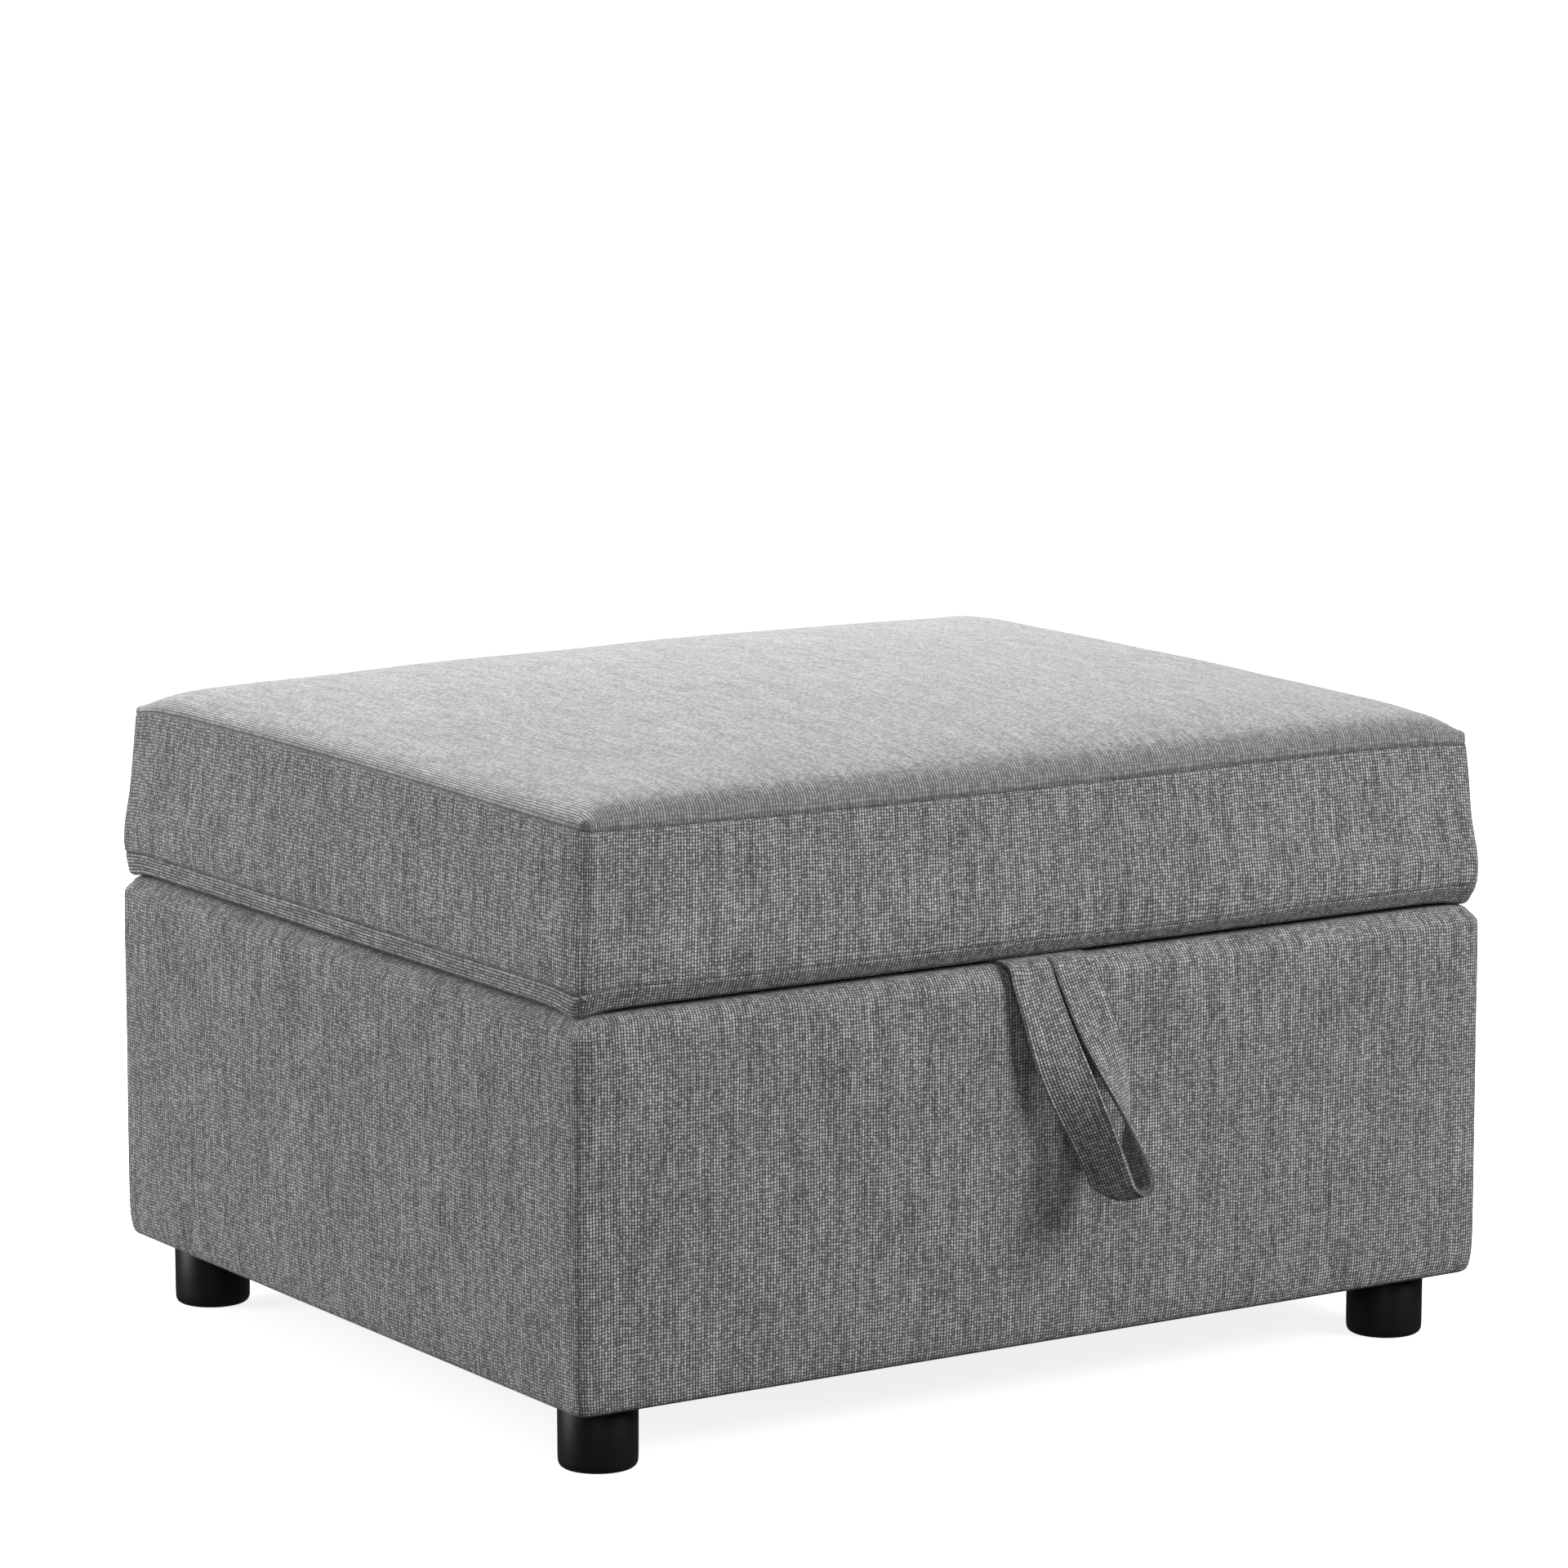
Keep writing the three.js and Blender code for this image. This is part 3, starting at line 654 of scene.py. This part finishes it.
def makeFoamUnder(shape, gap, floorZ):
    # foam that fills a cover: the cover's shape set in by the cloth, cut flat on its board
    bm = shape.copy()
    bm.normal_update()
    for v in bm.verts:
        v.co -= v.normal * gap * (2.4 if any(e.seam for e in v.link_edges) else 1)
    cut = bm.verts[:] + bm.edges[:] + bm.faces[:]
    bmesh.ops.bisect_plane(bm, geom=cut, plane_co=(0, 0, floorZ), plane_no=(0, 0, 1),
                           clear_inner=True)
    bmesh.ops.holes_fill(bm, edges=[e for e in bm.edges if e.is_boundary])
    bmesh.ops.recalc_face_normals(bm, faces=bm.faces)
    return bm


def makeLid():
    bm, flat, region, sewn = makeLidShape()
    lo, hi = lidLow, lidHigh
    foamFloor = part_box("lid_foam")[0][2]
    foamMesh = makeFoamUnder(bm, 2.6 * mm, foamFloor)
    foam = meshObject("lid_foam_block", foamMesh, foamStuff)
    foamMesh.free()
    finishPiece(foam, "lid", "cushion_foam", "lid_foam")
    bm.normal_update()
    bandTop = lo.z + lid["band"]
    for v in sewn:
        onBand = abs(v[flat].z - bandTop) < 1e-5
        v.co -= v.normal * (shell["bandTuck"] if onBand else shell["seamTuck"])
    panels = {"top": "lid_top_cover", "band": "lid_band"}
    panels.update({"boxing_" + s: "lid_boxing_" + s for s in ("front", "back", "left", "right")})

    middle = Vector(((lo.x + hi.x) / 2, (lo.y + hi.y) / 2, hi.z))
    overX = arcTable(middle, 0, lo, hi, bandTop)
    overY = arcTable(middle, 1, lo, hi, bandTop)

    def uvOf(key):
        def flatUv(p, centre):
            side = nearestSide(centre, lo, hi)
            if key == "top":
                return lookUp(overX, p.x), lookUp(overY, p.y)
            u, v = unfold(p, lo, hi, side)
            return (v, u) if key == "band" and side in ("left", "right") else (u, v)
        return flatUv

    for key, node in panels.items():
        # the top panel takes the lit copy of the cloth, with lighter painted shade in its gaps
        piece = cutPanel(node + "_cloth", bm, key, region, uvOf(key),
                         topLitFabric if key == "top" else fabric)
        addFinish(piece, shell["clothThick"], shell["levels"])
        finishPiece(piece, "lid", "upholstery_fabric", node)
    bm.free()


def makeLidBoard():
    # the plywood the cushion is built on, its edges eased
    low, high = (Vector(c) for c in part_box("lid_board"))
    inset = Vector((lid["boardInset"], lid["boardInset"], 0))
    bm = bmesh.new()
    bmesh.ops.create_cube(bm, size=1)
    bmesh.ops.scale(bm, vec=high - low - 2 * inset, verts=bm.verts)
    bmesh.ops.translate(bm, vec=(low + high) / 2, verts=bm.verts)
    bmesh.ops.bevel(bm, geom=bm.edges[:], affect="EDGES", offset=0.8 * mm, segments=2,
                    profile=0.5, material=-1)
    board = meshObject("lid_board_plate", bm, plywood)
    bm.free()
    for polygon in board.data.polygons:
        polygon.use_smooth = False
    finishPiece(board, "lid", "plywood", "lid_board")


makeLid()
makeLidBoard()
print("lid cover sewn")


# ---- base cover and padding

baseLow = Vector((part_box("base_cover_left")[0][0], *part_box("base_cover_front")[0][1:]))
baseHigh = Vector((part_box("base_cover_right")[1][0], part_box("base_cover_back")[1][1],
                   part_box("base_cover_front")[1][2]))
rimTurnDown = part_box("storage_lining")[1][2]
base = {
    "corner": 9 * mm, "rim": 13 * mm, "bottomEdge": 5 * mm, "turn": 29.9 * mm,
    "wide": 3.2 * mm, "rimBulge": 1.6 * mm, "belly": 0.8 * mm, "rimCrown": 1.2 * mm,
    "rimInnerEdge": 2 * mm,
    "near": [1.2 * mm, 3 * mm, 5.5 * mm, 9 * mm, 12.5 * mm, 17 * mm, 22 * mm, 27.4 * mm,
             29.9 * mm],
    "step": 15 * mm, "foamGap": 2.6 * mm, "panelSpare": 0.3 * mm, "unevenness": 0.8 * mm,
    "cloth": {"quality": 6, "stretch": 25, "bend": 1.5, "pressure": 3, "frames": 12,
              "cap": 1.4 * mm},
}


def basePoint(p, lo, hi):
    middleY = (lo.y + hi.y) / 2
    half = (hi - lo) / 2
    x, y = p.x, p.y - middleY
    u, w = x / half.x, y / half.y
    co = roundBox(p, lo, hi, base["corner"], base["rim"], base["bottomEdge"])
    t = (p.z - lo.z) / (hi.z - lo.z)
    edge = math.sin(math.pi * min(1, t * 12) / 2) if t < 1 / 12 else 1
    swell = base["belly"] * math.sin(math.pi * t) ** 0.5 + base["rimBulge"] * math.exp(
        -((t - 0.86) / 0.1) ** 2) if 0 < t < 1 else 0
    uneven = base["unevenness"] * ripple((x, y, p.z), 11, 2.3)
    wide = base["wide"] * edge * min(1, (1 - t) * 28)
    co.x += wide * co.x / half.x
    co.y += wide * (co.y - middleY) / half.y
    if abs(w) > 1 - 1e-5:
        co.y += math.copysign((swell + uneven * edge) * (1 - abs(u) ** 20), w)
    if abs(u) > 1 - 1e-5:
        co.x += math.copysign((swell + uneven * edge) * (1 - abs(w) ** 20), u)
    if p.z > hi.z - 1e-5:
        inset = min(half.x - abs(x), half.y - abs(y))
        co.z += base["rimCrown"] * math.sin(math.pi * min(1, inset / base["turn"])) ** 0.7
        if inset > base["turn"] - 1e-5:
            co.z -= base["rimInnerEdge"]
    return co


def makeBaseShape():
    lo, hi = baseLow, baseHigh
    zCuts = [lo.z + d * mm for d in (1.5, 3.2, 5, 9, 16)]
    zCuts += [lo.z + 16 * mm + (hi.z - lo.z - 34 * mm) * i / 16 for i in range(1, 17)]
    zCuts += [hi.z - d * mm for d in (13, 9.5, 6, 3.5, 1.5)]
    bm, flat = cutBox(lo, hi, [gridCuts(lo.x, hi.x, base["near"], base["step"]),
                               gridCuts(lo.y, hi.y, base["near"], base["step"]), zCuts])
    for corner in cornersOf(lo, hi):
        mitre(bm, corner, base["turn"], lo.z)
        mitre(bm, corner, base["turn"], hi.z)
    for v in bm.verts:
        v[flat] = v.co.copy()

    def inset(c):
        return min(c.x - lo.x, hi.x - c.x, c.y - lo.y, hi.y - c.y)
    middle = [f for f in bm.faces if inset(flatCentre(f, flat)) > base["turn"]
              and abs(f.normal.z) > 0.5]
    bmesh.ops.delete(bm, geom=middle, context="FACES")
    for v in bm.verts:
        v.co = basePoint(v.co, lo, hi)
    # turned down inside the box
    down = [e for e in bm.edges if e.is_boundary and e.verts[0].co.z > (lo.z + hi.z) / 2]
    depth = hi.z - base["rimInnerEdge"] - rimTurnDown
    for share in (0.08, 0.3, 0.32, 0.3):
        grown = bmesh.ops.extrude_edge_only(bm, edges=down)
        for v in grown["geom"]:
            if isinstance(v, bmesh.types.BMVert):
                v.co.z -= depth * share
                v[flat] = Vector((v[flat].x, v[flat].y, v[flat].z + depth * share))
        down = [g for g in grown["geom"] if isinstance(g, bmesh.types.BMEdge)]
    region = {}
    bm.faces.index_update()
    for f in bm.faces:
        region[f.index] = nearestSide(flatCentre(f, flat), lo, hi)
    sewn = markSeams(bm, region)
    bm.verts.index_update()
    fixed = {v.index for v in sewn}
    fixed |= {v.index for v in bm.verts
              if not lo.z + 6 * mm < v[flat].z < hi.z - 5 * mm}
    inflate(bm, sorted(fixed), base["cloth"])
    return bm, flat, region, sewn


def makePadding(side, shape, flat, region):
    # the foam between cover and plywood, wrapped over the panel's top edge
    lo, hi = baseLow, baseHigh
    panelHigh = Vector(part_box(side + "_panel")[1])
    wholeLow = Vector(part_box("front_panel")[0])
    wholeHigh = Vector((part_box("front_panel")[1][0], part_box("back_panel")[1][1], panelHigh.z))
    bm = shape.copy()
    layer = bm.verts.layers.float_vector["flat"]
    bmesh.ops.delete(bm, geom=[
        f for f in bm.faces if region[f.index] != side or flatCentre(f, layer).z < lo.z + 1e-5
        or flatCentre(f, layer).z > hi.z + 1e-5], context="FACES")
    bm.normal_update()
    for v in bm.verts:
        v.co -= v.normal * base["foamGap"] * (2 if any(e.seam for e in v.link_edges) else 1)
        v.co.z = max(v.co.z, wholeLow.z)
    outer = set(bm.verts)
    bmesh.ops.solidify(bm, geom=bm.faces[:], thickness=0.1 * mm)
    inner = [v for v in bm.verts if v not in outer]
    spare = base["panelSpare"]
    for v in inner:
        v.co.x = min(max(v.co.x, wholeLow.x - spare), wholeHigh.x + spare)
        v.co.y = min(max(v.co.y, wholeLow.y - spare), wholeHigh.y + spare)
        v.co.z = min(v.co.z, wholeHigh.z + spare)
    bmesh.ops.recalc_face_normals(bm, faces=bm.faces)
    piece = meshObject("base_padding_" + side + "_foam", bm, foamStuff)
    bm.free()
    finishPiece(piece, "base", "cushion_foam", "base_padding_" + side)


def makeBase():
    bm, flat, region, sewn = makeBaseShape()
    lo, hi = baseLow, baseHigh
    for side in ("front", "back", "left", "right"):
        makePadding(side, bm, flat, region)
    bm.normal_update()
    for v in sewn:
        if v[flat].z < hi.z - 1e-5 or v.co.z > hi.z - 4 * mm:
            v.co -= v.normal * shell["seamTuck"]

    def flatUv(p, centre):
        side = nearestSide(centre, lo, hi)
        if p.z > hi.z + 1e-5:
            return (p.x if side in ("front", "back") else p.y), p.z + base["turn"]
        return unfold(p, lo, hi, side)

    for side in ("front", "back", "left", "right"):
        piece = cutPanel("base_cover_" + side + "_cloth", bm, side, region, flatUv, fabric)
        addFinish(piece, shell["clothThick"], shell["levels"])
        finishPiece(piece, "base", "upholstery_fabric", "base_cover_" + side)
    bm.free()


makeBase()
print("base cover sewn")


# ---- feet

foot = {
    "profile": [(0, 1.2), (17, 1.2), (18.5, 0), (24, 0), (25.6, 0.35), (26.9, 1.3), (27.8, 2.8),
                (28.2, 4.8), (28.35, 9), (28.5, 47), (28.2, 47.6), (27.6, 47.7), (0, 47.7)],
    "steps": 72,
}


def makeFoot(place):
    low, high = (Vector(c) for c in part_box("foot_" + place))
    bm = bmesh.new()
    points = [bm.verts.new((r * mm, 0, z * mm)) for r, z in foot["profile"]]
    edges = [bm.edges.new(pair) for pair in zip(points, points[1:])]
    bmesh.ops.spin(bm, geom=points + edges, cent=(0, 0, 0), axis=(0, 0, 1),
                   angle=2 * math.pi, steps=foot["steps"], use_merge=True)
    bmesh.ops.remove_doubles(bm, verts=bm.verts, dist=1e-6)
    bmesh.ops.recalc_face_normals(bm, faces=bm.faces)
    middle = (low + high) / 2
    bmesh.ops.translate(bm, vec=(middle.x, middle.y, 0), verts=bm.verts)
    obj = meshObject("round_foot_" + place, bm, blackPlastic)
    bm.free()
    finishPiece(obj, "base", "black_plastic", "foot_" + place)


for place in ("front_left", "front_right", "back_left", "back_right"):
    makeFoot(place)
print("feet turned")


# ---- black linings

lining = {"thick": 1.2 * mm, "step": 22 * mm, "crease": 0.5 * mm, "levels": 1}


def makeFlatLining(node, body, sag, spare=0):
    low, high = (Vector(c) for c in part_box(node))
    low -= Vector((spare, spare, 0))
    high += Vector((spare, spare, 0))
    size = high - low
    bm = bmesh.new()
    bmesh.ops.create_grid(bm, x_segments=round(size.x / lining["step"]),
                          y_segments=round(size.y / lining["step"]), size=0.5)
    top = low.z + lining["thick"]
    bmesh.ops.scale(bm, vec=(size.x, size.y, 1), verts=bm.verts)
    bmesh.ops.translate(bm, vec=((low.x + high.x) / 2, (low.y + high.y) / 2, top),
                        verts=bm.verts)
    uvLayer = bm.loops.layers.uv.new("cloth")
    for face in bm.faces:
        for loop in face.loops:
            loop[uvLayer].uv = (loop.vert.co.x, loop.vert.co.y)
    for v in bm.verts:
        u = 2 * (v.co.x - low.x) / size.x - 1
        w = 2 * (v.co.y - low.y) / size.y - 1
        calm = (1 - u ** 6) * (1 - w ** 6)
        crease = abs(ripple((v.co.x, v.co.y, 0), 16, 4.4))
        v.co.z += calm * (lining["crease"] * 2 * crease * (1 if sag >= 0 else -1) + sag)
    obj = meshObject(node + "_cloth", bm, liningCloth)
    bm.free()
    addFinish(obj, lining["thick"], lining["levels"])
    finishPiece(obj, body, "lining_cloth", node)


def makeWallLining():
    low, high = (Vector(c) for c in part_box("storage_lining"))
    bm, flat = cutBox(low, high, [gridCuts(low.x, high.x, [1 * mm, 8 * mm], 24 * mm),
                                  gridCuts(low.y, high.y, [1 * mm, 8 * mm], 24 * mm),
                                  gridCuts(low.z, high.z, [2 * mm], 25 * mm)])
    bm.normal_update()
    bmesh.ops.delete(bm, geom=[f for f in bm.faces if abs(f.normal.z) > 0.5], context="FACES")
    middle = (low + high) / 2
    half = (high - low) / 2
    for v in bm.verts:
        p = v.co.copy()
        calm = math.sin(math.pi * (p.z - low.z) / (high.z - low.z))
        crease = lining["crease"] * 2.4 * calm * abs(ripple((p.x, p.y, p.z * 0.6), 12, 7.7))
        if abs(abs(p.x - middle.x) - half.x) < 1e-5:
            v.co.x -= math.copysign(crease, p.x - middle.x)
        if abs(abs(p.y - middle.y) - half.y) < 1e-5:
            v.co.y -= math.copysign(crease, p.y - middle.y)
    obj = meshObject("storage_lining_cloth", bm, liningCloth)
    bm.free()
    addFinish(obj, lining["thick"], lining["levels"])
    finishPiece(obj, "base", "lining_cloth", "storage_lining")


makeFlatLining("floor_lining", "base", 0, 1.6 * mm)
makeFlatLining("dust_cover", "base", -1.2 * mm)
makeFlatLining("lid_lining", "lid", 0)
makeWallLining()
print("linings stretched")


# ---- pull strap

strapRoot = Vector((0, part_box("base_cover_front")[0][1] - 2 * mm, 328 * mm))
strap = {
    "width": 36 * mm, "thick": 3.2 * mm, "hem": 3.9 * mm, "groove": 2.3 * mm,
    "drop": 155 * mm, "out": 50 * mm, "lean": 38 * mm, "halfGap": 6 * mm,
    "shoulder": 4.5 * mm, "inside": 10 * mm, "rootGap": 0.6 * mm,
    "rootStart": 2.3 * mm, "rootRise": 0.8 * mm, "rootRadius": 8.6 * mm, "rootSweep": 74.7,
    "turnEnd": 0.97, "lateTurn": 0.22, "turns": {-1: 68, 1: 94}, "bendDepth": 11 * mm,
    "cornerLift": 15 * mm, "rootSteps": 10, "legSteps": 34, "bendSteps": 14,
}


def strapMiddle():
    # the line half way between the two legs, from inside the split to the loop's end
    start, rise, radius = strap["rootStart"], strap["rootRise"], strap["rootRadius"]
    line = [Vector((0, start + strap["inside"] * i / 3, rise)) for i in range(3, 0, -1)]
    for i in range(strap["rootSteps"]):
        a = math.radians(strap["rootSweep"]) * i / strap["rootSteps"]
        line.append(Vector((0, start - radius * math.sin(a),
                            rise - radius * (1 - math.cos(a)))))
    first = 0.04
    for i in range(strap["legSteps"] + 1):
        t = first + (1 - first) * i / strap["legSteps"]
        y = -strap["out"] * t - strap["shoulder"] * (1 - t) ** 3
        line.append(Vector((strap["lean"] * (t - first), y, -strap["drop"] * t)))
    return line


def strapSections():
    # along the whole loop: centre, across towards the front hem, outward, share of the bend
    line = strapMiddle()
    legStart = len(line) - strap["legSteps"] - 1
    frames = []
    for i, p in enumerate(line):
        along = (line[min(i + 1, len(line) - 1)] - line[max(i - 1, 0)]).normalized()
        sideways = (Vector((1, 0, 0)) - along * along.x).normalized()
        frames.append((along, sideways, along.cross(sideways)))
    half = strap["width"] / 2
    legs = {}
    for hand in (-1, 1):
        legs[hand] = []
        for i, p in enumerate(line):
            t = max(0, (i - legStart) / strap["legSteps"])
            late = strap["lateTurn"] if hand > 0 else 0
            s = min(1, max(0, t - late) / (strap["turnEnd"] - late))
            share = s ** 1.6 if hand > 0 else s * s * (3 - 2 * s)
            turn = share * math.radians(strap["turns"][hand])
            along, sideways, forward = frames[i]
            offset = strap["rootGap"] + strap["halfGap"] * t + half * math.cos(turn)
            offset += strap["thick"] / 2 * math.sin(turn)
            across = -hand * math.cos(turn) * sideways + math.sin(turn) * forward
            outward = hand * math.sin(turn) * sideways + math.cos(turn) * forward
            lift = max(0, (t - 0.9) / 0.1) ** 2 * 0.55
            legs[hand].append((p + hand * offset * sideways, across, outward, lift))
    along, sideways, forward = frames[-1]
    wide = (legs[1][-1][0] - legs[-1][-1][0]).length / 2
    middle = (legs[1][-1][0] + legs[-1][-1][0]) / 2
    ends = [-hand * math.cos(math.radians(strap["turns"][hand])) for hand in (-1, 1)]
    bend = []
    for i in range(1, strap["bendSteps"]):
        a = math.pi * i / strap["bendSteps"]
        share = ends[0] + (ends[1] - ends[0]) * (1 - math.cos(a)) / 2
        across = share * sideways + math.sqrt(1 - share * share) * forward
        tangent = wide * math.sin(a) * sideways + strap["bendDepth"] * math.cos(a) * along
        outward = tangent.cross(across).normalized()
        centre = middle - wide * math.cos(a) * sideways + strap["bendDepth"] * math.sin(a) * along
        bend.append((centre, across, outward, 0.55 + 0.45 * math.sin(a)))
    return legs[-1] + bend + legs[1][::-1], along


def strapOutline():
    # half the band's section, from hem to hem: distance from the middle and half thickness
    half = strap["width"] / 2
    shares = [(-1, 0), (-0.985, 0.55), (-0.93, 1), (-0.87, 0.9), (-0.83, 0), (-0.78, 0.5),
              (-0.5, 0.5), (-0.2, 0.5), (0.2, 0.5), (0.5, 0.5), (0.78, 0.5), (0.83, 0),
              (0.87, 0.9), (0.93, 1), (0.985, 0.55), (1, 0)]
    outline = []
    for s, level in shares:
        if abs(s) > 0.96:
            thick = strap["hem"] * (0.35 if abs(s) == 1 else 0.75)
        elif level > 0.8:
            thick = strap["hem"]
        elif level == 0:
            thick = strap["groove"]
        else:
            thick = strap["thick"]
        outline.append((s * half, thick / 2))
    return [(s, t) for s, t in outline] + [(s, -t) for s, t in reversed(outline)]


def makeStrap():
    sections, tipAlong = strapSections()
    outline = strapOutline()
    around, steps = len(outline), len(sections) - 1
    bm = bmesh.new()
    bmesh.ops.create_grid(bm, x_segments=around, y_segments=steps, size=0.5)
    uvLayer = bm.loops.layers.uv.new("cloth")
    lengths = [0]
    for a, b in zip(sections, sections[1:]):
        lengths.append(lengths[-1] + (b[0] - a[0]).length)
    half = strap["width"] / 2

    def indexOf(v):
        return round((v.co.x + 0.5) * around), round((v.co.y + 0.5) * steps)

    for face in bm.faces:
        for loop in face.loops:
            i, j = indexOf(loop.vert)
            s = outline[i % around][0]
            back = 2 * half if i >= around // 2 and i < around else 0
            loop[uvLayer].uv = (s + back, lengths[j])
    for v in bm.verts:
        i, j = indexOf(v)
        centre, across, outward, lift = sections[j]
        s, out = outline[i % around]
        v.co = strapRoot + centre + across * s + outward * out
        backShare = max(0, -s / half)
        v.co -= tipAlong * strap["cornerLift"] * lift * backShare ** 2.5
    bmesh.ops.remove_doubles(bm, verts=bm.verts, dist=1e-6)
    bmesh.ops.holes_fill(bm, edges=[e for e in bm.edges if e.is_boundary])
    bmesh.ops.recalc_face_normals(bm, faces=bm.faces)
    obj = meshObject("pull_strap_loop", bm, fabric)
    bm.free()
    addFinish(obj, 0, 1)
    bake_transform(obj)
    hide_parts("pull_strap")


def makeStrapTab():
    # the doubled end of the strap, stapled flat under the lid's edge
    low, high = (Vector(c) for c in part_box("pull_strap_tab"))
    bm, flat = cutBox(low, high, [gridCuts(low.x, high.x, [0.6 * mm, 2 * mm], 6 * mm),
                                  gridCuts(low.y, high.y, [0.6 * mm, 2 * mm], 6 * mm), []])
    uvLayer = bm.loops.layers.uv.new("cloth")
    for face in bm.faces:
        for loop in face.loops:
            p = loop.vert.co
            loop[uvLayer].uv = (p.x + p.z, p.y + p.z)
    obj = meshObject("pull_strap_end", bm, fabric)
    bm.free()
    addFinish(obj, 0, 1)
    finishPiece(obj, "lid", "upholstery_fabric", "pull_strap_tab")


makeStrap()
makeStrapTab()
print("pull strap looped")


# ---- camera, light and floor

view = {
    "place": (-2.76271, -4.19362, 1.27887), "yaw": 33.1, "down": 9.787, "lens": 157.35,
}
cameraData = bpy.data.cameras.new("camera")
cameraData.lens = view["lens"]
cameraData.sensor_width = 36
camera = bpy.data.objects.new("camera", cameraData)
camera.location = view["place"]
camera.rotation_euler = Euler((math.radians(90 - view["down"]), 0, -math.radians(view["yaw"])))
scene.collection.objects.link(camera)
scene.camera = camera

lights = {
    "overhead": {"towards": (0.1, 0.4, 1), "power": 0.6, "narrow": 2.0},
    "floorGlow": 0.08,
    "key": {"place": (0.5, 1.6, 1.9), "size": 1.5, "power": 86},
    "frontFill": {"place": (2.2, -3.3, 2.6), "size": 2, "power": 128},
    "nearFill": {"place": (-2.5, -3.5, 2.2), "size": 2, "power": 32},
    "leftFill": {"place": (-3.4, 1.8, 1.1), "size": 2, "power": 74},
}


def addLight(name, look, target):
    data = bpy.data.lights.new(name, "AREA")
    data.size = look["size"]
    data.energy = look["power"]
    lamp = bpy.data.objects.new(name, data)
    lamp.location = look["place"]
    aim = Vector(target) - Vector(look["place"])
    lamp.rotation_euler = aim.to_track_quat("-Z", "Y").to_euler()
    scene.collection.objects.link(lamp)


def makeStudioDome(look, glow):
    # a soft dome that is brightest overhead and dim below the table's edge
    world = bpy.data.worlds.new("studio")
    world.use_nodes = True
    nodes, links = world.node_tree.nodes, world.node_tree.links
    where = nodes.new("ShaderNodeTexCoord").outputs["Generated"]
    dot = nodes.new("ShaderNodeVectorMath")
    dot.operation = "DOT_PRODUCT"
    dot.inputs[1].default_value = Vector(look["towards"]).normalized()
    links.new(where, dot.inputs[0])
    split = nodes.new("ShaderNodeSeparateXYZ")
    links.new(where, split.inputs[0])
    facing = mathNode(nodes, links, "MAXIMUM", dot.outputs["Value"], 0.0)
    dome = mathNode(nodes, links, "MULTIPLY",
                    mathNode(nodes, links, "POWER", facing, look["narrow"]), look["power"])
    above = mathNode(nodes, links, "MULTIPLY_ADD", split.outputs[2], 8.0, 0.2, clamp=True)
    lift = mathNode(nodes, links, "SUBTRACT", dome, glow)
    strength = mathNode(nodes, links, "MULTIPLY_ADD", lift, above, glow)
    links.new(strength, nodes["Background"].inputs["Strength"])
    nodes["Background"].inputs["Color"].default_value = (1, 1, 1, 1)
    return world


addLight("key", lights["key"], (0, 0, 0.45))
addLight("front_fill", lights["frontFill"], (0, 0, 0.25))
addLight("near_fill", lights["nearFill"], (0, 0, 0.25))
addLight("left_fill", lights["leftFill"], (0, 0, 0.25))
scene.world = makeStudioDome(lights["overhead"], lights["floorGlow"])
scene.view_settings.view_transform = "Standard"

floorMesh = bmesh.new()
bmesh.ops.create_grid(floorMesh, x_segments=1, y_segments=1, size=40)
floor = meshObject("floor", floorMesh)
floorMesh.free()
floorMaterial, floorNodes = newMaterial("pale_floor")[:2]
floorShader = floorNodes["Principled BSDF"]
floorShader.inputs["Base Color"].default_value = (0.6, 0.6, 0.6, 1)
floorShader.inputs["Roughness"].default_value = 0.9
floorShader.inputs["Specular IOR Level"].default_value = 0
floorShader.inputs["Emission Color"].default_value = (1, 1, 1, 1)
floorShader.inputs["Emission Strength"].default_value = 0.85
floor.data.materials.append(floorMaterial)
floor.visible_glossy = False
floor.visible_diffuse = False  # the dome's dim lower half stands for the floor's glow

print("scene ready")
